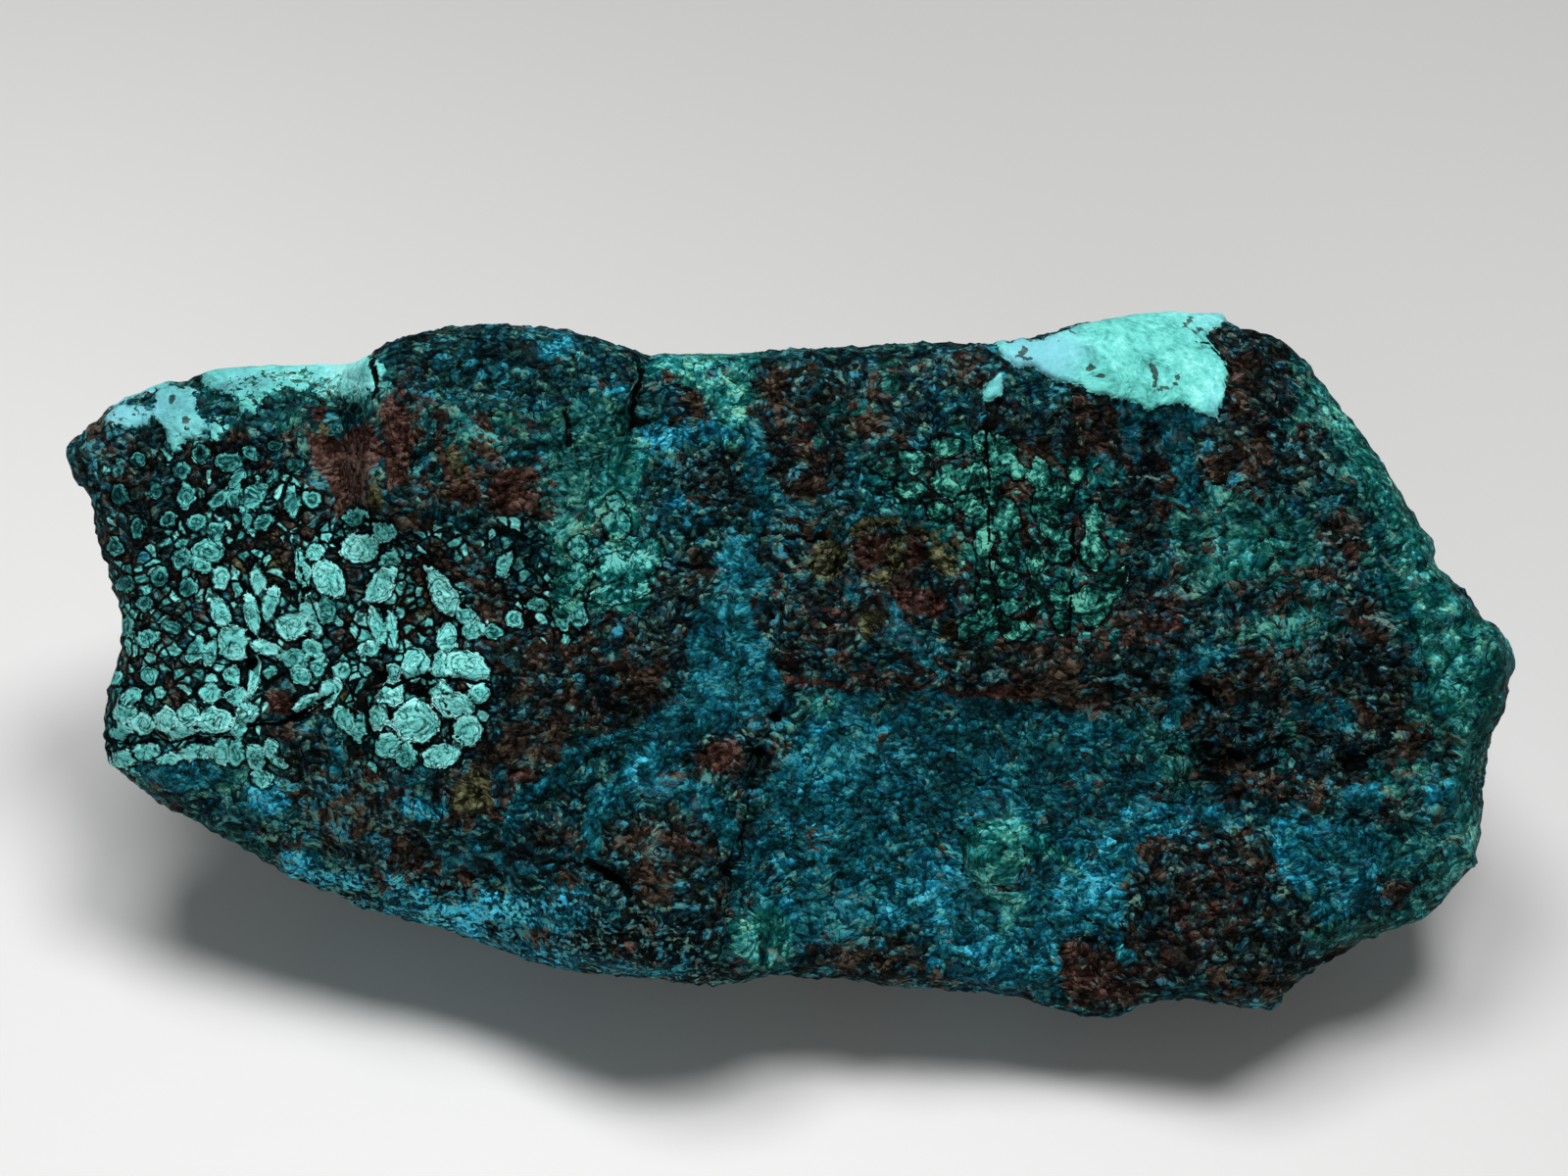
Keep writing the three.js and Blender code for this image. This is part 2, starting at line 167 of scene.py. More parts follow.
def beside(x: np.ndarray, y: np.ndarray, start: Place, end: Place) -> tuple[np.ndarray, np.ndarray]:
    """How places lie beside a line.

    Args:
        x: The places, across.
        y: The places, down.
        start: Where the line starts.
        end: Where it ends.

    Returns:
        How far along the line each is, from 0 to 1, and how far from it, in pixels.
    """
    run = (end[0] - start[0], end[1] - start[1])
    share = ((x - start[0]) * run[0] + (y - start[1]) * run[1]) / (run[0] ** 2 + run[1] ** 2)
    share = np.clip(share, 0, 1)
    return share, np.hypot(x - start[0] - share * run[0], y - start[1] - share * run[1])


@dataclass(frozen=True)
class Oval:
    """An oval: its middle, its two half-lengths, and its turn in degrees, clockwise."""

    x: float
    y: float
    long: float
    short: float
    turn: float = 0.0
    strength: float = 1.0

    def depth(self, x: np.ndarray, y: np.ndarray) -> np.ndarray:
        """How far inside the oval each place is, in pixels, or below 0 outside it."""
        angle = math.radians(self.turn)
        along = (x - self.x) * math.cos(angle) + (y - self.y) * math.sin(angle)
        across = (y - self.y) * math.cos(angle) - (x - self.x) * math.sin(angle)
        return (1 - self._radius(along / self.long, across / self.short)) * min(self.long, self.short)

    def _radius(self, along: np.ndarray, across: np.ndarray) -> np.ndarray:
        """How far out each place is, where 1 is the edge, from its place in half-lengths."""
        return np.hypot(along, across)


@dataclass(frozen=True)
class Cell(Oval):
    """A cell of the breccia: an oval with blunt corners."""

    def _radius(self, along: np.ndarray, across: np.ndarray) -> np.ndarray:
        """How far out each place is, where 1 is the edge, from its place in half-lengths."""
        along, across = np.abs(along), np.abs(across)
        return np.maximum(np.maximum(along, across), CELL_CORNERS * (along + across))


@dataclass(frozen=True)
class Stroke:
    """A band along a line through points, with its width at the start and at the end."""

    points: tuple[Place, ...]
    start: float
    end: float
    strength: float = 1.0

    def depth(self, x: np.ndarray, y: np.ndarray) -> np.ndarray:
        """How far inside the band each place is, in pixels, or below 0 outside it."""
        deepest = np.full(x.shape, -FAR)
        pieces = len(self.points) - 1
        for number, (a, b) in enumerate(zip(self.points, self.points[1:])):
            share, away = beside(x, y, a, b)
            width = self.start + (self.end - self.start) * (number + share) / pieces
            deepest = np.maximum(deepest, width / 2 - away)
        return deepest


@dataclass(frozen=True)
class Patch:
    """An area inside an outline."""

    outline: tuple[Place, ...]
    strength: float = 1.0

    def depth(self, x: np.ndarray, y: np.ndarray) -> np.ndarray:
        """How far inside the outline each place is, in pixels, or below 0 outside it."""
        nearest = np.full(x.shape, FAR)
        inside = np.zeros(x.shape, dtype=bool)
        for a, b in zip(self.outline, self.outline[1:] + self.outline[:1]):
            nearest = np.minimum(nearest, beside(x, y, a, b)[1])
            if a[1] != b[1]:
                crosses = (a[1] > y) != (b[1] > y)
                inside ^= crosses & (x < a[0] + (b[0] - a[0]) * (y - a[1]) / (b[1] - a[1]))
        return np.where(inside, nearest, -nearest)


Mark = Oval | Stroke | Patch


class Layer(Enum):
    """What a mark shows: the mesh attribute that holds it, and how many pixels its edges fade over."""

    BROWN = ("brown", 34)
    TEAL = ("teal", 34)
    SEA = ("sea", 36)
    VEIN = ("vein", 15)
    AZURE = ("azure", 28)
    SKIN = ("skin", 8)
    GREEN = ("green", 18)
    CELLS = ("cells", 24)
    RUST = ("rust", 14)
    OLIVE = ("olive", 16)
    DARK = ("dark", 7)
    PALE = ("pale", 7)
    LILAC = ("lilac", 30)
    SPECK = ("speck", 4)
    BRIGHT = ("bright", 40)
    DIM = ("dim", 40)
    UPRIGHT = ("upright", 40)
    LEVEL = ("level", 30)

    def __init__(self, attribute: str, fade: float) -> None:
        """Names the two parts of the value."""
        self.attribute = attribute
        self.fade = fade


MARKS: dict[Layer, tuple[Mark, ...]] = {
    # Brown, dark matrix.
    Layer.BROWN: (
        Patch(((110, 560), (190, 480), (300, 470), (340, 530), (430, 530), (500, 560), (520, 660), (500, 760),
            (440, 790), (380, 760), (340, 700), (260, 730), (120, 720))),
        # the left end and the breccia
        Patch(((84, 470), (100, 440), (210, 450), (300, 440), (305, 485), (190, 495), (112, 570),
            (95, 540)), 0.85),
        Oval(226, 487, 24, 14), Oval(330, 515, 30, 12, 30),
        Stroke(((250, 742), (300, 744), (335, 760)), 20, 18),
        Stroke(((335, 520), (385, 520), (425, 545)), 20, 16, 0.8),
        Patch(((490, 690), (560, 640), (650, 680), (690, 700), (640, 740), (590, 750), (560, 780), (510, 830),
            (455, 850), (440, 800), (480, 770))),
        Patch(((295, 760), (330, 760), (420, 790), (440, 860), (470, 900), (400, 900), (330, 870),
            (300, 830)), 0.95),
        Oval(460, 905, 30, 26, 0, 0.8), Oval(280, 868, 28, 16, 30, 0.7),
        # under the knob and down the middle
        Oval(405, 470, 18, 50, 0, 0.8), Oval(425, 395, 22, 35, 20, 0.7), Oval(525, 510, 34, 34, 0, 0.9),
        Oval(465, 500, 26, 20), Oval(625, 490, 22, 10, -10, 0.8), Oval(700, 415, 16, 28, 0, 0.9),
        Oval(720, 490, 36, 30, 0, 0.7), Oval(735, 515, 26, 15), Oval(705, 585, 35, 35, 0, 0.75),
        Oval(665, 640, 50, 55, 0, 0.8),
        Patch(((500, 560), (560, 640), (560, 780), (500, 800), (490, 700)), 0.95),
        Oval(655, 705, 40, 18, 0, 0.8),
        Patch(((600, 850), (660, 820), (730, 830), (755, 860), (745, 960), (690, 1000), (600, 985),
            (540, 940), (560, 890)), 0.65),
        Oval(760, 765, 45, 28, 0, 0.9), Oval(540, 855, 45, 22, -20, 0.8), Oval(590, 955, 55, 16, 10, 0.6),
        Oval(720, 990, 40, 14, 0, 0.8),
        # the top of the middle
        Patch(((772, 370), (890, 372), (1000, 352), (1010, 395), (960, 400), (930, 440), (900, 455),
            (850, 450), (860, 500), (800, 500), (772, 480), (765, 420)), 0.9),
        Oval(820, 460, 42, 48), Oval(800, 570, 40, 60, 0, 0.55), Oval(830, 640, 60, 50, 0, 0.7),
        Oval(900, 595, 55, 60, 0, 0.9), Oval(1020, 425, 24, 20),
        Patch(((920, 480), (1010, 430), (1150, 440), (1165, 560), (1150, 670), (1060, 690), (970, 670),
            (960, 590), (930, 540)), 0.9),
        Oval(1120, 430, 50, 28, 10, 0.9), Oval(1165, 500, 36, 60, 0, 0.75),
        Stroke(((760, 660), (820, 690), (900, 690)), 36, 30, 0.7),
        Stroke(((940, 690), (1010, 700), (1100, 705), (1210, 705)), 46, 40, 0.9),
        # the right
        Patch(((1222, 345), (1260, 322), (1310, 335), (1325, 400), (1310, 450), (1290, 500), (1235, 495),
            (1225, 440), (1250, 410), (1252, 370))),
        Oval(1325, 470, 36, 36, 0, 0.6), Oval(1280, 620, 38, 18, -20, 0.9), Oval(1375, 560, 34, 38),
        Oval(1175, 630, 56, 44),
        Patch(((1215, 690), (1260, 660), (1340, 650), (1400, 590), (1430, 620), (1455, 690), (1470, 730),
            (1430, 790), (1330, 820), (1260, 800), (1215, 790), (1190, 740)), 0.75),
        Oval(1275, 775, 50, 30), Oval(1380, 625, 36, 20),
        # the lower right
        Patch(((1160, 850), (1230, 830), (1300, 850), (1310, 900), (1330, 930), (1380, 950), (1320, 1020),
            (1200, 1000), (1130, 1040), (1080, 1010), (1080, 955), (1140, 950), (1160, 900)), 0.85),
        Oval(1430, 908, 20, 22, 0, 0.8), Oval(1415, 830, 26, 14, 0, 0.7), Oval(885, 980, 65, 24, 0, 0.9),
        Oval(1080, 815, 18, 16, 0, 0.7), Oval(1125, 785, 20, 14, 0, 0.7), Oval(822, 860, 12, 10, 0, 0.7),
        Oval(880, 815, 12, 24, 0, 0.6),
    ),
    # Matrix whose grains are dull teal-blue.
    Layer.TEAL: (
        Oval(115, 460, 26, 16, 0, 0.6), Oval(105, 525, 12, 26), Oval(255, 425, 60, 22),
        Patch(((400, 362), (480, 338), (560, 338), (640, 360), (655, 400), (600, 415), (450, 412), (425, 395))),
        Oval(440, 375, 26, 20), Oval(440, 465, 10, 24), Oval(700, 560, 60, 60, 0, 0.8),
        Oval(800, 590, 60, 70, 0, 0.7), Oval(640, 650, 50, 40, 0, 0.6), Oval(965, 420, 50, 26),
        Oval(880, 480, 36, 20, 0, 0.7), Oval(1170, 560, 30, 40, 0, 0.7), Oval(1240, 640, 60, 22, 0, 0.7),
        Oval(1340, 730, 100, 70, 0, 0.6), Oval(350, 850, 60, 60, 0, 0.6), Oval(190, 835, 70, 40, 20),
        Oval(660, 920, 80, 60, 0, 0.7), Oval(1240, 900, 60, 60, 0, 0.5), Oval(1010, 770, 130, 50),
        Oval(520, 600, 60, 60, 0, 0.5),
    ),
    # Massive green-teal chrysocolla.
    Layer.SEA: (
        # the knob
        Oval(605, 455, 56, 62, 0, 0.9), Oval(500, 440, 60, 32, 0, 0.55), Oval(575, 500, 34, 40, 0, 0.6),
        Oval(430, 345, 40, 8, -12, 0.4),
        # round and under the pale skin of the upper left
        Stroke(((210, 398), (260, 396), (320, 390), (384, 394)), 26, 40, 0.9), Oval(288, 430, 16, 14, -30, 0.8),
        # the strip along the top
        Stroke(((745, 410), (742, 440)), 40, 34, 0.9),
        Stroke(((775, 360), (830, 358), (900, 352), (940, 348)), 10, 10, 0.8), Oval(908, 385, 18, 20, 0, 0.8),
        # the thin pale fork
        Stroke(((834, 398), (850, 420), (838, 452)), 7, 8), Stroke(((850, 420), (890, 410)), 8, 5),
        Stroke(((880, 466), (915, 480), (985, 470)), 10, 8, 0.7),
        # the right
        Stroke(((1332, 345), (1345, 400), (1385, 460), (1430, 530), (1462, 590)), 40, 60, 0.85),
        Patch(((1190, 505), (1240, 490), (1300, 510), (1345, 540), (1340, 580), (1290, 600), (1220, 605),
            (1195, 570)), 0.75),
        Patch(((1245, 655), (1290, 615), (1340, 600), (1370, 640), (1330, 660), (1280, 665)), 0.75),
        Patch(((1390, 540), (1455, 530), (1468, 585), (1505, 612), (1545, 655), (1545, 700), (1522, 748),
            (1480, 752), (1446, 700), (1430, 645), (1404, 590))),
        Oval(1475, 735, 34, 20), Oval(1340, 425, 26, 26, 0, 0.7),
        # the right end's lower strip and corner
        Stroke(((1500, 745), (1492, 800), (1500, 860), (1480, 900), (1430, 940), (1350, 960)), 36, 24),
        Oval(1450, 870, 44, 36, 0, 0.9), Oval(1440, 790, 46, 30, 0, 0.6),
        # the lower right
        Oval(1185, 775, 46, 34, 0, 0.75), Oval(1320, 760, 20, 40, 0, 0.5), Oval(1085, 770, 60, 40, 0, 0.55),
        Oval(1055, 880, 50, 16, 15, 0.7), Oval(870, 840, 30, 60, 0, 0.5), Oval(790, 910, 40, 34, 0, 0.7),
        # the lower left
        Oval(250, 790, 40, 30, 0, 0.6), Oval(130, 800, 24, 18, 20, 0.7), Oval(245, 862, 34, 12, 32, 0.8),
    ),
    # Smooth blue-teal veins.
    Layer.VEIN: (
        Stroke(((766, 440), (768, 490)), 24, 22),
        Stroke(((770, 485), (780, 520), (770, 545), (752, 562)), 16, 14),
        Stroke(((752, 560), (764, 588), (745, 610), (730, 630)), 26, 40),
        Patch(((712, 618), (752, 610), (775, 640), (790, 690), (800, 715), (775, 735), (735, 748), (705, 745),
            (700, 700), (702, 655))),
        Stroke(((735, 700), (690, 735), (660, 770), (640, 805), (612, 835), (604, 868)), 56, 16),
        Stroke(((655, 795), (690, 800), (722, 815), (746, 852)), 26, 22, 0.9),
        Stroke(((648, 752), (605, 762), (565, 788), (530, 822), (512, 858)), 10, 18),
        Patch(((848, 702), (905, 700), (872, 742), (842, 762), (812, 792), (782, 818), (774, 806), (800, 780),
            (826, 745))),
        Stroke(((903, 616), (915, 648), (940, 676), (958, 690)), 14, 12), Oval(872, 605, 9, 18, 0, 0.8),
        Stroke(((1150, 418), (1160, 470)), 28, 14, 0.8),
        Patch(((1170, 420), (1200, 412), (1232, 420), (1215, 450), (1225, 500), (1240, 520), (1200, 520),
            (1192, 470))),
        Stroke(((1232, 660), (1208, 690), (1200, 735)), 20, 14), Stroke(((1128, 470), (1132, 480)), 14, 14),
        Patch(((850, 740), (940, 702), (1080, 722), (1150, 735), (1185, 800), (1165, 870), (1150, 940),
            (1085, 955), (1065, 1020), (950, 992), (940, 945), (860, 962), (756, 985), (748, 900), (775, 830),
            (800, 800)), 0.62),
        Oval(845, 790, 45, 50, 0, 0.8), Oval(895, 820, 10, 20, 20, 0.8),
        Patch(((1400, 545), (1460, 535), (1472, 585), (1510, 612), (1550, 655), (1550, 700), (1522, 748),
            (1480, 752), (1446, 700), (1430, 645), (1404, 590)), 0.55),
        Stroke(((1345, 400), (1392, 462), (1432, 530), (1458, 585)), 26, 30, 0.4),
        Oval(1450, 870, 44, 36, 0, 0.4), Oval(1388, 812, 28, 14, 10, 0.8),
        Patch(((1318, 838), (1360, 835), (1410, 855), (1420, 890), (1380, 905), (1330, 900), (1310, 870)), 0.9),
        Oval(1350, 730, 46, 20, 10, 0.6), Oval(1200, 650, 30, 10, 0, 0.5), Oval(180, 790, 42, 20, 10, 0.9),
        Stroke(((455, 870), (510, 878), (560, 888)), 12, 8, 0.9), Oval(345, 775, 10, 22, 0, 0.8),
        Oval(420, 790, 30, 16, 0, 0.7), Stroke(((390, 925), (470, 958), (560, 978), (700, 990)), 20, 18, 0.7),
        Oval(565, 930, 40, 26, 10, 0.7), Stroke(((560, 905), (600, 915), (640, 945)), 18, 14, 0.6),
    ),
    # Bright blue, crystalline chrysocolla.
    Layer.AZURE: (
        Oval(562, 357, 32, 12, 0, 0.85), Oval(628, 397, 26, 8, -10, 0.8), Oval(678, 447, 30, 11, -12),
        Oval(690, 425, 20, 12, 30, 0.5), Oval(738, 432, 22, 18, 0, 0.8), Oval(690, 515, 14, 12, 0, 0.7),
        Oval(1110, 905, 42, 40, 20, 0.75), Stroke(((1138, 930), (1148, 975)), 16, 12),
        Oval(1020, 975, 76, 30, 8, 0.62), Oval(940, 925, 60, 30, 0, 0.65), Oval(975, 880, 36, 22, 0, 0.6),
        Oval(955, 928, 9, 7), Oval(820, 880, 55, 55, 0, 0.4), Oval(840, 800, 30, 30, 0, 0.5),
        Oval(1195, 832, 46, 16, -5, 0.85), Oval(1130, 865, 46, 20, 0, 0.5),
        Stroke(((1320, 832), (1309, 855), (1312, 888), (1332, 905)), 12, 14),
        Stroke(((1330, 905), (1365, 900), (1405, 890)), 14, 8, 0.9), Oval(1375, 918, 38, 18, -10, 0.8),
        Oval(1466, 815, 14, 26, 20, 0.6),
        # the lower left edge
        Stroke(((300, 875), (325, 896), (372, 900)), 18, 12),
        Stroke(((405, 905), (440, 930), (480, 938), (535, 922)), 18, 34),
        Stroke(((400, 935), (480, 955), (540, 960)), 10, 10, 0.6), Oval(580, 915, 26, 16, 10, 0.8),
        Oval(272, 815, 24, 20, 0, 0.8), Oval(428, 826, 26, 11, 12, 0.9), Oval(165, 782, 32, 12, 6, 0.6),
        Oval(520, 830, 16, 18, 0, 0.7), Oval(572, 981, 18, 7, 8),
        # in the veins
        Oval(745, 580, 16, 18, 0, 0.6), Stroke(((748, 560), (752, 600), (735, 640), (742, 690)), 8, 10, 0.6),
        Stroke(((690, 735), (655, 775), (628, 815), (610, 850)), 14, 8, 0.8),
        Stroke(((860, 715), (830, 765), (790, 800)), 14, 10, 0.65),
        Stroke(((770, 480), (778, 520), (766, 550)), 6, 6, 0.7), Oval(740, 690, 30, 40, 0, 0.35),
    ),
    # Pale, smooth skin.
    Layer.SKIN: (
        Patch(((1016, 352), (1060, 350), (1100, 334), (1155, 322), (1200, 312), (1262, 312), (1250, 330),
            (1226, 345), (1240, 356), (1252, 372), (1250, 400), (1240, 428), (1225, 422), (1200, 412),
            (1172, 418), (1150, 408), (1120, 403), (1100, 394), (1075, 388), (1055, 374), (1040, 378),
            (1024, 366))),
        Patch(((1020, 380), (1025, 384), (1024, 404), (1003, 413), (1003, 400))),
        Patch(((205, 384), (240, 370), (300, 366), (350, 366), (388, 370), (386, 400), (372, 408), (356, 412),
            (342, 404), (326, 410), (312, 398), (290, 400), (272, 406), (262, 424), (246, 420), (236, 404),
            (212, 400)), 0.57),
        Stroke(((215, 386), (255, 376), (310, 371), (384, 378)), 16, 20),
        Stroke(((350, 396), (382, 394)), 12, 10, 0.8),
        Patch(((160, 402), (175, 396), (196, 396), (204, 404), (200, 420), (211, 430), (205, 445), (190, 450),
            (180, 466), (171, 450), (165, 435), (155, 424)), 0.8),
        Patch(((106, 428), (120, 415), (148, 414), (160, 423), (152, 437), (128, 438), (110, 436)), 0.72),
        Stroke(((112, 412), (136, 400), (168, 392)), 12, 14, 0.75), Oval(222, 438, 11, 15, 0, 0.55),
    ),
    # Smooth or ringed green chrysocolla.
    Layer.GREEN: (
        Stroke(((655, 455), (645, 492), (628, 515)), 20, 22, 0.85), Oval(632, 525, 18, 26),
        Oval(642, 585, 30, 34), Oval(662, 568, 14, 18), Oval(628, 610, 26, 10, -10, 0.8),
        Oval(584, 542, 28, 24, 0, 0.85), Stroke(((640, 470), (612, 515), (590, 560), (572, 615)), 40, 34, 0.72),
        # the strip along the top
        Stroke(((662, 372), (700, 366), (765, 366)), 22, 18),
        Stroke(((695, 376), (730, 394), (752, 398), (766, 374)), 18, 20),
        Stroke(((745, 398), (744, 425)), 30, 26, 0.9),
        # the glassy strip of the right end
        Stroke(((1345, 400), (1392, 462), (1432, 530), (1458, 585)), 22, 30, 0.75),
        Patch(((1410, 545), (1455, 535), (1468, 585), (1505, 612), (1545, 655), (1545, 700), (1522, 748),
            (1485, 750), (1462, 700), (1440, 645), (1416, 590)), 0.6),
        Stroke(((1500, 745), (1492, 800), (1500, 860), (1478, 905)), 18, 22, 0.6),
        Patch(((880, 462), (1000, 440), (1030, 440), (1060, 478), (1140, 480), (1150, 560), (1140, 645),
            (1060, 660), (985, 650), (980, 560), (950, 530), (890, 500)), 0.42),
        Patch(((885, 455), (1000, 436), (1060, 455), (1150, 470), (1160, 560), (1150, 655), (1060, 668),
            (975, 655), (970, 560), (940, 540), (880, 505)), 0.36),
        Oval(1270, 565, 40, 26, -20, 0.6), Oval(1017, 868, 32, 36, 20), Oval(993, 872, 14, 20, 0, 0.9),
        Stroke(((1050, 862), (1075, 875), (1100, 888)), 20, 8, 0.9),
        Stroke(((1005, 905), (1030, 915), (1030, 945)), 18, 20, 0.8), Oval(778, 958, 28, 32),
        Oval(838, 722, 14, 20, 20, 0.6), Oval(720, 370, 40, 8, 0, 0.8), Oval(1440, 935, 44, 9, -12, 0.7),
    ),
    # Where the matrix is broken into small, pale, black-rimmed cells.
    Layer.CELLS: (
        Patch(((110, 575), (160, 555), (200, 490), (300, 480), (330, 530), (400, 535), (470, 545), (480, 600),
            (500, 650), (500, 730), (470, 785), (390, 790), (350, 760), (330, 715), (290, 660), (262, 730),
            (262, 760), (110, 765), (108, 700), (122, 640)), 0.8),
        Patch(((108, 725), (250, 715), (262, 755), (255, 785), (150, 795), (110, 785))),
        Patch(((480, 540), (560, 520), (610, 555), (605, 650), (560, 660), (520, 640)), 0.55),
        Patch(((100, 450), (230, 440), (240, 540), (110, 560)), 0.35),
    ),
    # Rusty stains, and rusty lines between the green cells.
    Layer.RUST: (
        Patch(((312, 438), (345, 445), (372, 424), (384, 470), (374, 500), (364, 515), (346, 530), (340, 505),
            (322, 480))),
        Patch(((390, 402), (412, 400), (420, 450), (418, 500), (400, 508), (388, 470))),
        Oval(406, 425, 8, 26, 0, 0.9), Patch(((500, 500), (525, 478), (546, 478), (545, 520), (515, 530)), 0.8),
        Oval(478, 505, 18, 14, 0, 0.6), Oval(462, 476, 14, 30, 0, 0.9), Oval(888, 560, 18, 13, -20),
        Oval(938, 556, 15, 16, 0, 0.9), Oval(932, 615, 30, 17, 10), Oval(984, 521, 11, 5, 20),
        Oval(284, 716, 15, 15), Oval(411, 636, 8, 14), Oval(735, 775, 20, 18, 0, 0.9), Oval(535, 785, 9, 8),
        Oval(322, 420, 12, 14, 0, 0.8), Stroke(((800, 697), (830, 695), (862, 700)), 12, 10, 0.8),
        Stroke(((955, 712), (1010, 705), (1050, 712)), 14, 12, 0.8), Oval(1192, 972, 7, 9),
        Oval(1098, 985, 24, 30, 0, 0.6), Oval(1175, 632, 44, 32, 0, 0.45), Oval(1240, 910, 50, 50, 0, 0.4),
        Oval(1150, 1000, 50, 24, 0, 0.45), Oval(840, 600, 60, 60, 0, 0.35), Oval(1380, 632, 26, 7, 8, 0.7),
        Oval(1385, 570, 12, 18, 0, 0.6), Oval(1085, 815, 10, 11, 0, 0.6), Oval(825, 450, 22, 30, 0, 0.45),
        Oval(1270, 375, 16, 10, 0, 0.5), Stroke(((880, 462), (930, 470), (960, 478), (1000, 464)), 5, 4, 0.9),
        Stroke(((945, 478), (965, 502), (1000, 532)), 7, 5, 0.8),
        Stroke(((1010, 480), (1028, 492), (1045, 520)), 5, 10, 0.8), Oval(1100, 590, 10, 12, 20, 0.8),
        Stroke(((805, 825), (850, 812)), 8, 6, 0.7), Oval(690, 858, 22, 8, 30, 0.6),
        Oval(632, 968, 12, 8, 0, 0.7), Oval(545, 610, 16, 26, 0, 0.5),
    ),
    # Olive stains, mostly beside the rusty ones.
    Layer.OLIVE: (
        Oval(462, 470, 10, 24, 0, 0.6), Oval(332, 435, 6, 7), Oval(381, 508, 9, 16, 0, 0.9),
        Oval(246, 590, 12, 26, 5, 0.8), Oval(280, 582, 16, 20, 0, 0.7), Oval(420, 615, 24, 14, -10, 0.9),
        Oval(485, 812, 22, 24), Stroke(((873, 545), (888, 533), (908, 528)), 16, 14),
        Stroke(((942, 540), (968, 547), (975, 562)), 14, 10), Oval(967, 565, 16, 22, -10, 0.9),
        Oval(915, 565, 12, 24, 0, 0.8), Oval(905, 590, 26, 10, 10, 0.7), Oval(840, 575, 24, 22, 0, 0.7),
        Oval(888, 633, 12, 10, 0, 0.9), Oval(966, 638, 10, 14, 0, 0.8), Oval(1085, 700, 20, 12, 0, 0.4),
        Oval(358, 715, 8, 20, 10, 0.6),
    ),
    # Open cracks, pits and deep shade.
    Layer.DARK: (
        # the knob
        Stroke(((384, 368), (386, 400), (380, 415)), 6, 4, 0.9),
        Stroke(((660, 372), (656, 400), (650, 440)), 8, 5), Stroke(((650, 436), (664, 430)), 8, 6),
        Stroke(((575, 418), (583, 455)), 5, 6), Stroke(((548, 455), (545, 480), (535, 505)), 4, 4, 0.8),
        Stroke(((425, 450), (420, 490)), 4, 4, 0.8),
        # the breccia
        Oval(428, 707, 8, 5, -20), Oval(384, 689, 10, 6, -10), Oval(255, 681, 5, 8, 15),
        Stroke(((372, 704), (400, 700), (425, 690), (460, 692), (503, 697)), 4, 4),
        Stroke(((388, 700), (378, 720), (376, 760)), 3, 3), Stroke(((455, 715), (462, 745), (480, 770)), 3, 3),
        Stroke(((250, 742), (290, 738), (330, 712), (345, 704)), 5, 3),
        Stroke(((300, 548), (312, 600), (332, 652)), 3, 3), Stroke(((305, 525), (345, 545)), 3, 3, 0.8),
        Stroke(((110, 760), (180, 757), (245, 755)), 3, 3, 0.9),
        Stroke(((345, 660), (375, 668), (420, 662), (450, 668)), 3, 3, 0.8), Oval(300, 735, 12, 5, 0, 0.8),
        # the middle
        Stroke(((802, 722), (792, 742), (776, 768), (768, 795), (764, 840), (755, 878)), 3, 4, 0.9),
        Stroke(((755, 878), (746, 920), (742, 975)), 5, 2, 0.8), Oval(775, 771, 7, 6),
        Oval(794, 733, 8, 5, 20, 0.9), Oval(748, 890, 9, 6, 40, 0.8),
        Stroke(((598, 878), (622, 898), (642, 912)), 7, 10), Oval(620, 897, 12, 6, 10),
        Stroke(((800, 548), (842, 552)), 5, 4), Stroke(((868, 556), (856, 590)), 3, 3),
        Stroke(((575, 880), (545, 882)), 6, 3, 0.8), Stroke(((695, 575), (732, 580)), 8, 5, 0.8),
        # the right
        Stroke(((1218, 352), (1235, 357), (1252, 370)), 3, 4),
        Stroke(((1225, 470), (1238, 492), (1262, 498)), 4, 3, 0.9), Oval(1238, 792, 16, 7, -10, 0.8),
        Oval(1262, 770, 13, 6, 20, 0.8), Oval(1292, 782, 18, 5, -22, 0.8), Oval(1232, 760, 10, 7, 0, 0.7),
        Oval(1316, 762, 12, 4, -30, 0.7), Oval(1268, 748, 8, 10, 0, 0.6),
        Stroke(((1219, 706), (1232, 712), (1240, 722)), 9, 5), Oval(1385, 777, 14, 8, -10, 0.9),
        Stroke(((1270, 715), (1300, 700), (1350, 690)), 3, 3, 0.8),
        Stroke(((1368, 595), (1385, 612), (1400, 620)), 4, 3, 0.8),
        Stroke(((1415, 590), (1432, 640), (1452, 700)), 4, 3, 0.7),
        Stroke(((1078, 920), (1105, 935), (1132, 948)), 3, 3, 0.9), Stroke(((1290, 1006), (1325, 1004)), 6, 6),
        Stroke(((1330, 985), (1370, 970)), 8, 5), Stroke(((985, 756), (1020, 760)), 4, 3, 0.7),
        Stroke(((1080, 740), (1082, 800)), 2, 2, 0.7), Stroke(((1060, 430), (1080, 440)), 3, 3, 0.7),
        Stroke(((1095, 540), (1092, 650)), 4, 3),
        Stroke(((1006, 430), (1009, 500), (1008, 560), (1020, 650)), 4, 3, 0.95),
        Stroke(((982, 440), (984, 500), (978, 520)), 3, 3, 0.8),
        Stroke(((880, 474), (950, 474), (1005, 462)), 3, 4, 0.8), Stroke(((1045, 560), (1040, 600)), 3, 3, 0.7),
        # round the nodule and between its lumps
        Stroke(((986, 862), (998, 846), (1018, 838), (1036, 846)), 3, 3, 0.75),
        Stroke(((1042, 860), (1048, 882), (1036, 902), (1018, 908)), 3, 4, 0.85),
        Stroke(((983, 868), (982, 890), (996, 904)), 3, 3, 0.8),
        Stroke(((1000, 864), (1014, 866), (1026, 872)), 3, 2, 0.7),
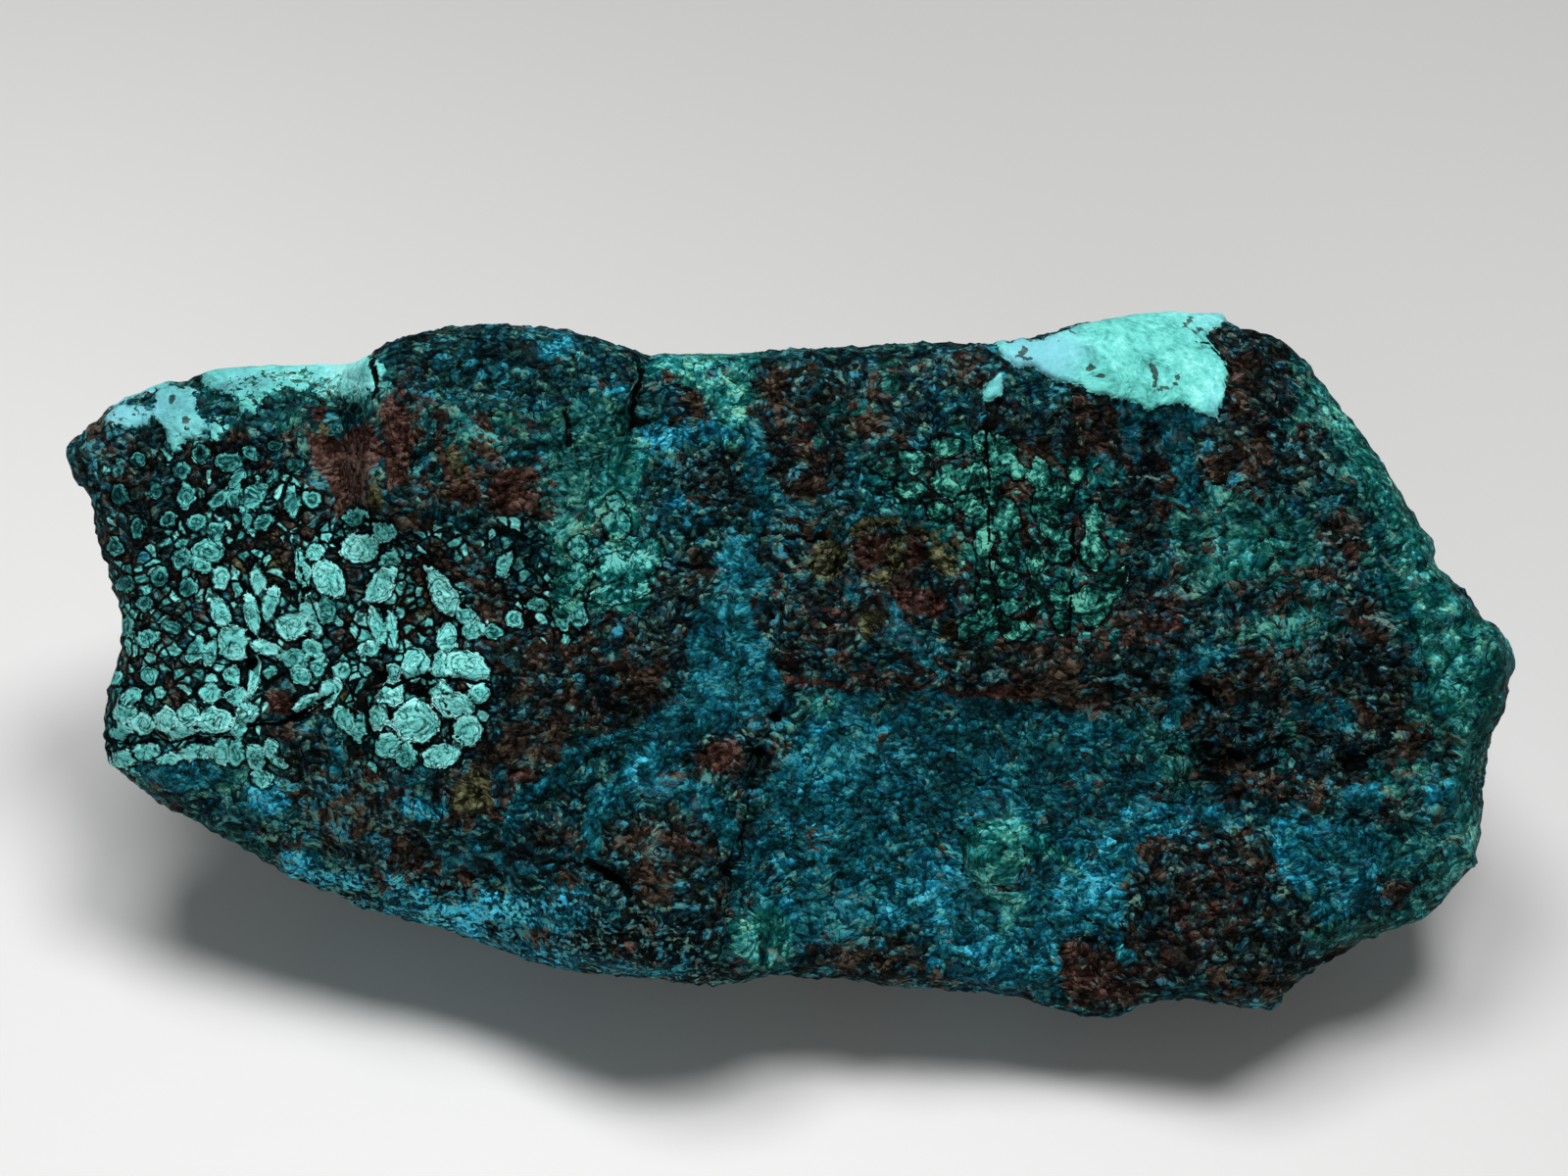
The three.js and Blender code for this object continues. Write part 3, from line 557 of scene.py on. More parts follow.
        Stroke(((1016, 866), (1008, 888)), 2, 3, 0.6),
        Stroke(((1060, 870), (1085, 884), (1098, 896)), 3, 3, 0.6),
    ),
    # Thin pale streaks and the pale line of the lowest edge.
    Layer.PALE: (
        Stroke(((1136, 492), (1160, 487), (1192, 488)), 2, 3, 0.8),
        Stroke(((1240, 486), (1285, 484)), 3, 2, 0.8), Stroke(((1000, 402), (1012, 378)), 3, 3, 0.8),
        Stroke(((855, 908), (870, 915), (892, 912)), 4, 3), Stroke(((1345, 555), (1400, 548)), 5, 4, 0.7),
        Stroke(((1395, 628), (1425, 640)), 8, 4, 0.7), Stroke(((1412, 568), (1430, 588)), 4, 3, 0.9),
        Stroke(((555, 958), (620, 972), (655, 988)), 3, 3, 0.7),
        Stroke(((835, 950), (880, 952), (940, 952)), 3, 2, 0.6), Oval(950, 372, 14, 8, 0, 0.4),
        Stroke(((780, 968), (800, 980)), 7, 5, 0.8),
    ),
    # Where the pale skin is lilac-blue.
    Layer.LILAC: (
        Oval(1062, 368, 46, 26, -10), Oval(1236, 414, 10, 14, 0, 0.5), Oval(1236, 326, 26, 12, 0, 0.5),
        Oval(132, 418, 46, 26, -10), Oval(1020, 395, 10, 12, 0, 0.7), Oval(250, 392, 30, 12, 0, 0.6),
        Oval(185, 420, 40, 34, 0, 0.6), Oval(340, 392, 60, 20, 0, 0.35),
    ),
    # Brown specks and thin grooves in the pale skin.
    Layer.SPECK: (
        Oval(1112, 382, 4.5, 3, -30), Oval(1123, 388, 5.2, 3, -15), Oval(1171, 385, 3.8, 6),
        Oval(1170, 396, 3, 5.2), Oval(1180, 405, 6, 3, -10), Oval(1197, 389, 5.2, 2.2, -35),
        Oval(1192, 396, 4.5, 2.2, 20), Oval(1099, 359, 3.8, 1.5, -20), Oval(1080, 355, 3, 1.5, -20),
        Oval(1046, 362, 4.5, 2.2, -20), Oval(1053, 365, 3.8, 1.5, -30), Oval(1060, 378, 3.8, 4.5, 0, 0.8),
        Oval(1036, 372, 5.2, 2.2, 20, 0.9), Oval(1210, 330, 7.5, 3, -30, 0.9), Oval(1222, 340, 6, 3, 0, 0.9),
        Stroke(((1192, 346), (1206, 350), (1219, 353)), 2, 2, 0.8),
        Stroke(((1202, 367), (1226, 372), (1250, 368)), 2, 2, 0.6),
        Stroke(((1216, 377), (1230, 382), (1238, 390)), 2, 2, 0.6),
        Stroke(((1090, 343), (1102, 347)), 5, 3, 0.8),
        # the upper left
        Oval(176, 411, 3.8, 3.8), Oval(262, 396, 6, 2.2, 20, 0.9), Oval(290, 403, 7.5, 3, 10, 0.9),
        Oval(330, 398, 6, 2.2, -10, 0.8), Oval(352, 391, 5.2, 2.2, 20, 0.9), Oval(366, 402, 4.5, 2.2, 0, 0.8),
        Oval(310, 386, 6, 1.5, -10, 0.7), Oval(190, 430, 3.8, 5.2, 20, 0.8), Oval(186, 446, 4.5, 2.2, 0, 0.8),
        Oval(276, 380, 7.5, 1.5, -8, 0.7),
    ),
    # Where every mineral is brighter: partly paler mineral, partly painted light on surfaces that turn away from
    # the lights.
    Layer.BRIGHT: (
        Oval(730, 380, 60, 26, 0, 0.3), Oval(370, 820, 70, 50, 0, 0.4), Oval(1318, 870, 26, 36, 0, 0.8),
        Oval(485, 812, 24, 26, 0, 0.9), Oval(185, 640, 80, 80, 0, 0.5), Oval(935, 385, 36, 22, 0, 0.6),
        Oval(100, 470, 30, 60, 0, 0.7), Oval(700, 450, 44, 22, 0, 0.5), Oval(895, 540, 36, 20, -30, 0.7),
        Oval(965, 550, 16, 22, 0, 0.9), Oval(345, 480, 40, 50, 0, 0.9), Oval(366, 392, 30, 22, 0, 1.3),
        Oval(1014, 868, 34, 34, 0, 0.2), Oval(748, 414, 30, 24, 0, 0.7), Oval(580, 540, 40, 30, 0, 0.5),
        Oval(1130, 900, 40, 44, 0, 0.4), Oval(170, 782, 80, 22, 4, 0.4), Oval(640, 575, 36, 40, 0, 0.3),
        Oval(510, 575, 26, 20, 0, 0.6), Oval(1350, 570, 34, 22, 0, 0.6), Oval(180, 742, 76, 34),
        Oval(270, 812, 44, 36, 0, 0.8), Oval(350, 852, 70, 44, 0, 0.6), Oval(480, 935, 80, 24, 8, 1.15),
        Oval(335, 890, 50, 18, 14, 1.1), Oval(850, 935, 70, 36, 0, 0.6), Oval(990, 925, 56, 44, 0, 0.6),
        Oval(1110, 920, 44, 34, 0, 0.6), Oval(830, 750, 56, 60, 0, 0.5), Oval(1480, 812, 34, 44, 0, 0.3),
    ),
    # Where every mineral is darker: partly darker mineral, partly painted shade on surfaces that face the lights.
    Layer.DIM: (
        Oval(1140, 450, 76, 34), Oval(1190, 515, 44, 44, 0, 0.8), Oval(1290, 582, 44, 26, 0, 0.8),
        Oval(636, 695, 34, 26, 0, 0.8), Oval(1000, 758, 56, 26, 0, 0.6), Oval(1110, 802, 56, 34, 0, 0.8),
        Oval(1230, 802, 44, 34, 0, 0.8), Oval(440, 455, 34, 24, 0, 0.6), Oval(1275, 410, 44, 80, 0, 0.4),
        Oval(1500, 680, 44, 80, 0, 0.15), Oval(1410, 500, 50, 60, 30, 0.3), Oval(1240, 940, 80, 60, 0, 0.3),
        Oval(1430, 890, 40, 30, 0, 0.3),
    ),
    # Matrix drawn out in upright streaks.
    Layer.UPRIGHT: (
        Patch(((300, 750), (470, 800), (450, 900), (320, 880))), Oval(1240, 580, 30, 40, 0, 0.6),
    ),
    # Matrix drawn out in level streaks, along the lower edge.
    Layer.LEVEL: (
        Patch(((300, 880), (420, 900), (560, 900), (700, 950), (740, 1000), (600, 1000), (420, 960),
            (300, 915))),
        Patch(((110, 715), (260, 715), (260, 790), (110, 790)), 0.5),
    ),
}

# The large single cells: middle, half-lengths and turn, and how pale each is.
LARGE_CELLS: tuple[Cell, ...] = (
    # the upper cluster
    Cell(367, 560, 19, 14), Cell(335, 590, 20, 15, 60), Cell(322, 563, 8, 9, 0, 0.9),
    Cell(308, 580, 22, 5, 82, 0.8), Cell(391, 543, 11, 8, 20, 0.7), Cell(388, 598, 19, 11, -55, 0.95),
    Cell(398, 570, 8, 6, 0, 0.7), Cell(318, 627, 21, 9, 75), Cell(297, 638, 15, 13),
    Cell(276, 617, 17, 6, 105, 0.9), Cell(257, 627, 19, 7, 82, 0.95), Cell(227, 628, 17, 9, 62, 0.95),
    Cell(263, 592, 13, 5, 85, 0.9), Cell(225, 590, 10, 7, 100, 0.9), Cell(214, 562, 13, 11, 0, 0.7),
    Cell(206, 577, 9, 6, 30, 0.65), Cell(219, 542, 10, 8, 60, 0.65), Cell(190, 506, 11, 8, 90, 0.55),
    Cell(224, 509, 10, 5, -40, 0.55), Cell(262, 503, 21, 9, -50, 0.62), Cell(241, 508, 10, 5, -58, 0.55),
    Cell(241, 488, 9, 5, -50, 0.55), Cell(274, 490, 13, 7, -45, 0.55), Cell(298, 514, 12, 7, 80, 0.6),
    Cell(318, 510, 9, 7, 40, 0.6), Cell(362, 528, 10, 7, -20, 0.6), Cell(234, 471, 13, 9, 0, 0.5),
    Cell(184, 480, 8, 6, 0, 0.45), Cell(252, 530, 12, 5, 75, 0.6), Cell(268, 532, 11, 6, -42, 0.55),
    Cell(237, 655, 19, 14, 70), Cell(270, 661, 14, 7, 12), Cell(259, 690, 21, 5, 97, 0.95),
    Cell(252, 726, 11, 10), Cell(241, 708, 10, 8, -20, 0.9), Cell(215, 708, 11, 8, 0, 0.9),
    Cell(134, 710, 10, 7, -15, 0.9), Cell(117, 692, 8, 6, 0, 0.8), Cell(236, 690, 7, 9, 0, 0.9),
    Cell(200, 662, 7, 10, 20, 0.7), Cell(216, 665, 5, 11, 15, 0.8), Cell(150, 650, 11, 7, 0, 0.7),
    Cell(152, 690, 8, 9, 0, 0.7),
    # the ringed cluster
    Cell(300, 672, 13, 9, 20, 0.8), Cell(318, 662, 10, 7, 40, 0.8), Cell(306, 690, 11, 8, 40, 0.8),
    Cell(325, 682, 7, 9, 0, 0.7), Cell(338, 705, 15, 9, 112), Cell(312, 718, 13, 5, -28, 0.95),
    Cell(377, 663, 9, 6, -10, 0.9), Cell(350, 685, 8, 6, 0, 0.8),
    # the band along the bevel
    Cell(128, 727, 11, 9, 0, 0.9), Cell(147, 740, 13, 10), Cell(170, 736, 13, 11, 20),
    Cell(192, 730, 12, 10, 0, 0.95), Cell(219, 736, 17, 13, 15), Cell(242, 745, 8, 10, 0, 0.9),
    Cell(122, 748, 9, 7, 0, 0.8), Cell(185, 748, 11, 6, 0, 0.9), Cell(125, 775, 11, 9, 0, 0.85),
    Cell(150, 768, 13, 7, 0, 0.85), Cell(172, 774, 12, 6, 0, 0.9), Cell(198, 768, 15, 6, -10, 0.9),
    Cell(226, 766, 7, 10, 0, 0.8), Cell(240, 770, 6, 11, 0, 0.7), Cell(261, 772, 9, 14, -10, 0.9),
    Cell(277, 764, 7, 9, 0, 0.9), Cell(284, 777, 7, 4, 20, 0.9), Cell(268, 795, 10, 7, 0, 0.8),
    # the big cluster on the right
    Cell(424, 678, 13, 17, 10, 0.95), Cell(476, 680, 23, 15, 20), Cell(456, 650, 10, 13, 10, 0.9),
    Cell(482, 643, 10, 9, 0, 0.85), Cell(450, 680, 7, 14, 0, 0.9), Cell(398, 706, 13, 11, -30, 0.95),
    Cell(399, 686, 8, 6, -30, 0.8), Cell(385, 732, 7, 11, 0, 0.9), Cell(425, 737, 24, 19, 10),
    Cell(464, 720, 19, 12, 20), Cell(477, 746, 15, 15), Cell(449, 771, 18, 11, -10, 0.95),
    Cell(395, 762, 12, 11, 0, 0.85), Cell(414, 772, 9, 12, 0, 0.7), Cell(490, 708, 11, 9, 0, 0.9),
    Cell(448, 704, 10, 5, -10, 0.9), Cell(385, 641, 15, 6, 80, 0.85), Cell(400, 645, 16, 5, 85, 0.8),
    Cell(352, 735, 14, 8, 60, 0.8), Cell(366, 742, 13, 6, 100, 0.7), Cell(452, 606, 26, 11, 62),
    Cell(474, 628, 9, 8, 0, 0.8), Cell(514, 577, 12, 7, -62, 0.8), Cell(333, 622, 12, 7, 80, 0.6),
    Cell(549, 618, 9, 8, 0, 0.7), Cell(525, 632, 8, 6, 30, 0.7), Cell(505, 645, 8, 6, 0, 0.6),
    Cell(128, 596, 9, 7, 0, 0.55), Cell(117, 558, 7, 7, 0, 0.5), Cell(163, 590, 8, 9, 0, 0.5),
    Cell(148, 615, 8, 6, 0, 0.55), Cell(185, 570, 8, 9, 20, 0.6), Cell(190, 600, 7, 8, 0, 0.5),
    Cell(175, 640, 9, 6, 0, 0.6), Cell(200, 535, 8, 7, 0, 0.55), Cell(128, 640, 6, 8, 0, 0.6),
    Cell(176, 455, 9, 6, 30, 0.4), Cell(205, 462, 7, 8, 0, 0.45), Cell(160, 500, 8, 6, 40, 0.4),
    Cell(140, 470, 7, 6, 0, 0.35), Cell(170, 530, 8, 6, -30, 0.45), Cell(140, 540, 6, 8, 0, 0.4),
    Cell(255, 462, 8, 6, 20, 0.5), Cell(280, 455, 7, 6, 0, 0.4), Cell(120, 505, 7, 9, 0, 0.35),
    Cell(300, 475, 8, 7, 0, 0.45),
    # the green cells, on the right of the middle and under the knob
    Cell(966, 455, 14, 8, 0, 0.7), Cell(1003, 452, 8, 9, 0, 0.7), Cell(1023, 465, 13, 18, 0, 0.8),
    Cell(1037, 480, 10, 7, 0, 0.9), Cell(970, 492, 18, 15, 20, 0.9), Cell(997, 486, 11, 13, 0, 0.9),
    Cell(988, 512, 10, 15, -40, 0.9), Cell(1012, 500, 7, 14, 0, 0.7), Cell(958, 522, 12, 8, 20, 0.6),
    Cell(1003, 545, 8, 24, 0, 0.9), Cell(1026, 530, 12, 18, 0, 0.9), Cell(1005, 578, 7, 9, 0, 0.9),
    Cell(1028, 566, 9, 12, 0, 0.9), Cell(1028, 592, 9, 8), Cell(1008, 604, 10, 12, 0, 0.9),
    Cell(1008, 628, 9, 11, 0, 0.8), Cell(1030, 618, 10, 7, 0, 0.7), Cell(1038, 643, 14, 9, 10, 0.8),
    Cell(990, 640, 9, 14, 30, 0.7), Cell(1061, 485, 10, 14, -20, 0.9), Cell(1062, 515, 9, 16, 0, 0.8),
    Cell(1082, 505, 11, 14, 0, 0.8), Cell(1075, 540, 10, 14, 0, 0.5), Cell(1098, 480, 8, 12, 0, 0.6),
    Cell(1115, 530, 10, 14, 0, 0.9), Cell(1116, 562, 13, 18, -10), Cell(1085, 565, 12, 8, -30, 0.8),
    Cell(1083, 608, 11, 15, 0, 0.9), Cell(1082, 635, 8, 10, 0, 0.7), Cell(1114, 618, 17, 19),
    Cell(1138, 595, 14, 9, -50, 0.7), Cell(1057, 605, 8, 14, 0, 0.5), Cell(1055, 570, 7, 12, 0, 0.5),
    Cell(932, 470, 15, 8, 10, 0.5), Cell(930, 500, 14, 10, 10, 0.5), Cell(906, 478, 14, 9, 0, 0.5),
    Cell(662, 568, 13, 17, 20, 0.8), Cell(625, 580, 18, 12, -10, 0.9), Cell(632, 605, 26, 10, -10, 0.8),
    Cell(648, 590, 12, 10, 0, 0.9), Cell(630, 535, 12, 14), Cell(628, 512, 9, 9),
    Cell(590, 560, 11, 10, 0, 0.8), Cell(574, 600, 9, 16, 0, 0.7), Cell(592, 588, 9, 12, 0, 0.7),
    Cell(575, 630, 9, 11, 0, 0.6), Cell(590, 625, 7, 14, 0, 0.6),
)

# Where the mesh needn't be finest: even mineral with neither cells nor cracks.
PLAIN_AREAS: tuple[Mark, ...] = (
    Patch(((830, 770), (1000, 745), (1160, 760), (1180, 840), (1060, 850), (960, 850), (900, 880), (820, 880))),
    Patch(((1240, 640), (1330, 660), (1450, 740), (1440, 790), (1340, 760), (1250, 700))),
    Patch(((430, 350), (560, 345), (560, 500), (430, 500))),
    Patch(((780, 375), (1000, 365), (1000, 430), (880, 450), (780, 470))),
    Patch(((1180, 480), (1400, 470), (1400, 600), (1240, 600), (1180, 560))),
    Patch(((540, 650), (690, 650), (700, 740), (560, 760))),
    Patch(((780, 860), (960, 880), (940, 960), (780, 960))),
    Patch(((290, 790), (430, 800), (430, 880), (310, 870))),
    Patch(((1060, 660), (1240, 600), (1200, 760), (1060, 750))),
)

# What stands out from the face or goes into it. A mark's strength is its height in millimetres.
RELIEF: tuple[Mark, ...] = (
    # open pits
    Oval(428, 707, 13, 10, -20, -1.1), Oval(384, 689, 12, 9, -10, -0.9), Oval(255, 681, 8, 11, 15, -0.8),
    Oval(775, 771, 14, 12, 0, -1), Oval(794, 733, 12, 9, 20, -0.7), Oval(622, 897, 20, 12, 25, -1.3),
    Oval(748, 888, 14, 10, 40, -0.6), Oval(1230, 712, 18, 12, 30, -0.9), Oval(1240, 777, 24, 12, 10, -0.8),
    Oval(1385, 777, 18, 11, -10, -0.7), Oval(175, 411, 7, 7, 0, -0.3),
    # the bump and the hollow of the left end
    Oval(76, 466, 12, 18, 0, 0.35), Oval(90, 510, 12, 20, 0, -0.45),
    # the dark step over the lower right and its open crack
    Stroke(((1225, 795), (1262, 788), (1300, 775), (1335, 762)), 24, 30, -0.6),
    # the lip over the bevel at the left
    Stroke(((250, 742), (290, 740), (330, 716)), 12, 10, -0.7),
    Stroke(((110, 758), (180, 756), (245, 754)), 9, 9, -0.3),
    Stroke(((372, 704), (425, 690), (503, 697)), 10, 9, -0.4),
    # the crack down the middle
    Stroke(((802, 722), (776, 768), (768, 795), (764, 840), (750, 885), (742, 975)), 10, 10, -0.5),
    # the knob's creases
    Stroke(((662, 370), (656, 400), (650, 440), (636, 500)), 16, 12, -0.7),
    Stroke(((575, 418), (583, 455)), 10, 10, -0.4),
    # the green nodule and its trails
    Oval(1013, 868, 22, 26, 20, 0.5), Oval(1003, 852, 12, 9, 20, 0.45), Oval(1028, 855, 10, 13, 0, 0.5),
    Oval(1012, 874, 13, 10, -30, 0.4), Oval(1034, 880, 8, 12, 0, 0.4), Oval(992, 876, 8, 14, 0, 0.5),
    Oval(1014, 895, 11, 7, 0, 0.4), Stroke(((1050, 862), (1100, 888)), 18, 10, 0.4),
    Oval(778, 958, 28, 30, 0, 0.4),
    # the crescent and the small blob
    Stroke(((1490, 750), (1480, 800), (1484, 850), (1500, 880)), 10, 8, 0.5), Oval(898, 818, 12, 22, 20, 0.5),
    Oval(885, 812, 8, 16, 10, -0.5), Oval(955, 928, 10, 8, 0, 0.4),
    Stroke(((855, 908), (870, 915), (892, 912)), 9, 7, 0.3),
    # the veins
    Stroke(((770, 485), (780, 520), (770, 545), (752, 562)), 14, 12, 0.25),
    Stroke(((690, 735), (660, 770), (640, 805), (612, 835)), 40, 16, 0.3),
    Stroke(((648, 752), (605, 762), (565, 788), (530, 822)), 10, 16, 0.25),
    # the smooth lumps of the right end
    Oval(1465, 620, 28, 22, 10, 0.5), Oval(1520, 670, 22, 30, 0, 0.6), Oval(1440, 560, 22, 18, 0, 0.4),
    Stroke(((1412, 568), (1435, 640), (1455, 700)), 12, 10, -0.6), Oval(1355, 868, 40, 24, 0, 0.6),
    Oval(1388, 812, 24, 12, 10, 0.4), Oval(1466, 818, 16, 24, 20, 0.5),
    # the drips under the pale skin
    Stroke(((1160, 425), (1165, 465)), 22, 12, 0.35), Stroke(((1200, 425), (1205, 500)), 30, 22, 0.4),
)


class Field:
    """The marks of one face, read at the points of a mesh."""

    def __init__(self, across: np.ndarray, down: np.ndarray) -> None:
        """Keeps the points' places in the picture, in pixels."""
        self.across = across
        self.down = down

    def cover(self, marks: Sequence[Mark], fade: float) -> np.ndarray:
        """How much of each point marks cover.

        Args:
            marks: The marks.
            fade: The width over which a mark fades out at its edge.

        Returns:
            A share from 0 to 1 for each point, or more where a mark is stronger than 1.
        """
        total = np.zeros(self.across.shape)
        for mark in marks:
            total = np.maximum(total, self._share(mark, fade))
        return total

    def heights(self, marks: Sequence[Mark], fade: float) -> np.ndarray:
        """The height that raised and sunken marks give each point, in the marks' own unit.

        Args:
            marks: The marks, each as strong as it is high.
            fade: The width over which a mark rises at its edge.

        Returns:
            A height for each point.
        """
        return sum(self._share(mark, fade) for mark in marks)

    def cells(self, cells: Sequence[Cell], growth: float) -> tuple[np.ndarray, np.ndarray]:
        """The large cells: how far inside its nearest cell each point is, and how pale that cell is.

        Args:
            cells: The cells.
            growth: How far each cell has grown past its oval, unless another cell is in its way.

        Returns:
            The depths, in pixels, and the palenesses.
        """
        depths = np.stack([cell.depth(self.across, self.down) for cell in cells])
        nearest = depths.argmax(axis=0)
        paleness = np.array([cell.strength for cell in cells])[nearest]
        second, first = np.partition(depths, -2, axis=0)[-2:]
        return np.minimum(first + growth, (first - second) / 2), paleness

    def _share(self, mark: Mark, fade: float) -> np.ndarray:
        """A mark's strength at each point, with its edge faded."""
        return smooth(0.5 + mark.depth(self.across, self.down) / fade) * mark.strength


class BackField:
    """The minerals on the sides that face away, laid out by noise."""

    # each layer's pattern, how much it counts, what is added to it, and the most that the layer covers
    COVERS = {
        Layer.BROWN: ("wide", 1.4, 0.5, 1.0),
        Layer.TEAL: ("wide", -1.4, 0.35, 1.0),
        Layer.SEA: ("middle", 2.2, -0.15, 0.9),
        Layer.VEIN: ("bands", -7.0, 1.25, 1.0),
        Layer.AZURE: ("middle", -2.4, -0.35, 0.85),
        Layer.GREEN: ("small", 2.4, -0.75, 0.8),
        Layer.CELLS: ("wide", 2.2, -0.4, 0.6),
        Layer.RUST: ("small", -2.6, -0.8, 0.8),
        Layer.SKIN: ("mottled", 1.7, -1.1, 0.7),
    }

    def __init__(self, points: np.ndarray) -> None:
        """Reads the noises at the points, in millimetres."""
        wide = self._noise(points, 15, 1)
        small = self._noise(points, 5, 3)
        self.patterns = {
            "wide": wide,
            "middle": self._noise(points, 9, 2),
            "small": small,
            "bands": np.abs(self._noise(points * np.array([1.0, 1.0, 0.5]), 17, 4)),
            "mottled": wide - small,
        }

    @staticmethod
    def _noise(points: np.ndarray, size: float, seed: int) -> np.ndarray:
        """Soft noise of a given size, from -1 to 1."""
        apart = 31.7  # how far apart two seeds are, in sizes
        return np.array([noise.fractal(Vector(point), 1.0, 2.0, 3) for point in points / size + seed * apart])

    def cover(self, layer: Layer) -> np.ndarray:
        """How much of each point a layer covers.

        Args:
            layer: The layer.

        Returns:
            A share from 0 to 1 for each point.
        """
        if layer not in self.COVERS:
            return np.zeros_like(self.patterns["wide"])
        pattern, gain, offset, most = self.COVERS[layer]
        return np.clip(self.patterns[pattern] * gain + offset, 0, most)


# ---- Node trees: arithmetic on sockets, and one method for every other node. ----


class Wire:
    """A node's output that arithmetic can be written with."""

    def __init__(self, graph: "Graph", socket: bpy.types.NodeSocket) -> None:
        """Keeps the socket and the graph that it belongs to."""
        self.graph = graph
        self.socket = socket

    def __add__(self, other: Any) -> "Wire":
        """The sum."""
        return self.graph.maths("ADD", self, other)

    def __sub__(self, other: Any) -> "Wire":
        """The difference."""
        return self.graph.maths("SUBTRACT", self, other)

    def __rsub__(self, other: Any) -> "Wire":
        """The difference, with the wire on the right."""
        return self.graph.maths("SUBTRACT", other, self)

    def __mul__(self, other: Any) -> "Wire":
        """The product."""
        return self.graph.maths("MULTIPLY", self, other)

    def __abs__(self) -> "Wire":
        """The value without its sign."""
        return self.graph.maths("ABSOLUTE", self)

    __radd__ = __add__
    __rmul__ = __mul__


class Graph:
    """Adds nodes to a tree, of a material or of Geometry Nodes, and links them."""

    SEED_SHIFT = (17.3, 9.1, 5.7)  # how far apart two seeds of a noise are, in millimetres
    NOISE_GAIN, NOISE_OFFSET = 2.1, -0.55  # what stretches a noise to the range from 0 to 1

    def __init__(self, tree: bpy.types.NodeTree) -> None:
        """Keeps the tree."""
        self.tree = tree

    @classmethod
    def of_material(cls, name: str) -> tuple[bpy.types.Material, "Graph"]:
        """A new material with an empty tree, and the graph of that tree."""
        material = bpy.data.materials.new(name)
        material.use_nodes = True
        material.node_tree.nodes.clear()
        return material, cls(material.node_tree)

    def show(self, **inputs: Any) -> None:
        """Ends a material's tree in a Principled shader.

        Args:
            inputs: Values or wires for the shader's sockets, by name, with _ for each space.
        """
        named = {name.replace("_", " "): value for name, value in inputs.items()}
        shader = self.add("ShaderNodeBsdfPrincipled", {}, named)
        self.add("ShaderNodeOutputMaterial", {}, {"Surface": self.out(shader)})

    def add(
        self, kind: str, settings: dict[str, Any] | None = None, inputs: dict[str, Any] | None = None
    ) -> bpy.types.Node:
        """Adds a node.

        Args:
            kind: The node's type.
            settings: The node's properties, set first. A ramp's are its "stops", each a place and a colour.
            inputs: Values or wires for the node's sockets, by name.

        Returns:
            The node.
        """
        node = self.tree.nodes.new(kind)
        for name, value in (settings or {}).items():
            if name == "stops":
                self._set_stops(node.color_ramp, value)
            else:
                setattr(node, name, value)
        for name, value in (inputs or {}).items():
            self._feed(self._find(node.inputs, name), value)
        return node

    def out(self, node: bpy.types.Node, name: str = "") -> Wire:
        """A node's output as a wire: the one of that name, or its first."""
        return Wire(self, self._find(node.outputs, name))

    def maths(self, operation: str, *values: Any) -> Wire:
        """A Math node on values or wires."""
        node = self.add("ShaderNodeMath", {"operation": operation})
        for socket, value in zip(node.inputs, values):
            self._feed(socket, value)
        return self.out(node)

    def vector(self, operation: str, first: Any, second: Any) -> Wire:
        """A Vector Math node on vectors or wires."""
        node = self.add("ShaderNodeVectorMath", {"operation": operation})
        self._feed(node.inputs[0], first)
        self._feed(node.inputs["Scale"] if operation == "SCALE" else node.inputs[1], second)
        return self.out(node)

    def step(self, value: Wire, low: float, high: float) -> Wire:
        """A value that goes smoothly from 0 to 1 while another goes from low to high."""
        inputs = {"Value": value, "From Min": low, "From Max": high}
        return self.out(self.add("ShaderNodeMapRange", {"interpolation_type": "SMOOTHSTEP"}, inputs))

    def noise(self, place: Wire, size: float, detail: float = 2.0, seed: float = 0.0, twist: float = 0.0) -> Wire:
        """Soft noise from 0 to 1, stretched to use the whole of that range.

        Args:
            place: Where it is read, in millimetres.
            size: The size of its patches, in millimetres.
            detail: How many finer layers it has.
            seed: A shift that gives another pattern of the same kind.
            twist: How much it is distorted.

        Returns:
            The noise.
        """
        moved = self.vector("ADD", place, tuple(seed * shift for shift in self.SEED_SHIFT))
        inputs = {"Vector": moved, "Scale": 1 / size, "Detail": detail, "Roughness": 0.6, "Distortion": twist}
        raw = self.out(self.add("ShaderNodeTexNoise", {"noise_dimensions": "3D"}, inputs))
        return self.maths("MULTIPLY_ADD", raw, self.NOISE_GAIN, self.NOISE_OFFSET)

    def grains(self, place: Wire, size: float, feature: str = "F1") -> bpy.types.Node:
        """A Voronoi node, whose cells are the grains.

        Args:
            place: Where it is read, in millimetres.
            size: The grains' size, in millimetres.
            feature: What it measures: F1 or DISTANCE_TO_EDGE.

        Returns:
            The node. Its distances are in grain sizes.
        """
        return self.add("ShaderNodeTexVoronoi", {"feature": feature}, {"Vector": place, "Scale": 1 / size})

    def chances(self, grains: bpy.types.Node) -> list[Wire]:
        """Three random numbers from 0 to 1 for each grain of a Voronoi node."""
        node = self.add("ShaderNodeSeparateColor", {}, {"Color": self.out(grains, "Color")})
        return [self.out(node, name) for name in ("Red", "Green", "Blue")]

    def attribute(self, name: str, output: str = "Fac") -> Wire:
        """An attribute of the mesh, in a material."""
        return self.out(self.add("ShaderNodeAttribute", {"attribute_name": name}), output)

    def blend(self, share: Any, first: Any, second: Any, mode: str = "MIX") -> Wire:
        """Two colours mixed: the first where the share is 0, the second where it is 1."""
        settings = {"data_type": "RGBA", "blend_type": mode}
        return self.out(self.add("ShaderNodeMix", settings, {"Factor": share, "A": first, "B": second}))

    def ramp(self, value: Wire, colours: Palette) -> Wire:
        """A mineral's colour at a tone."""
        return self.out(self.add("ShaderNodeValToRGB", {"stops": colours}, {"Fac": value}))

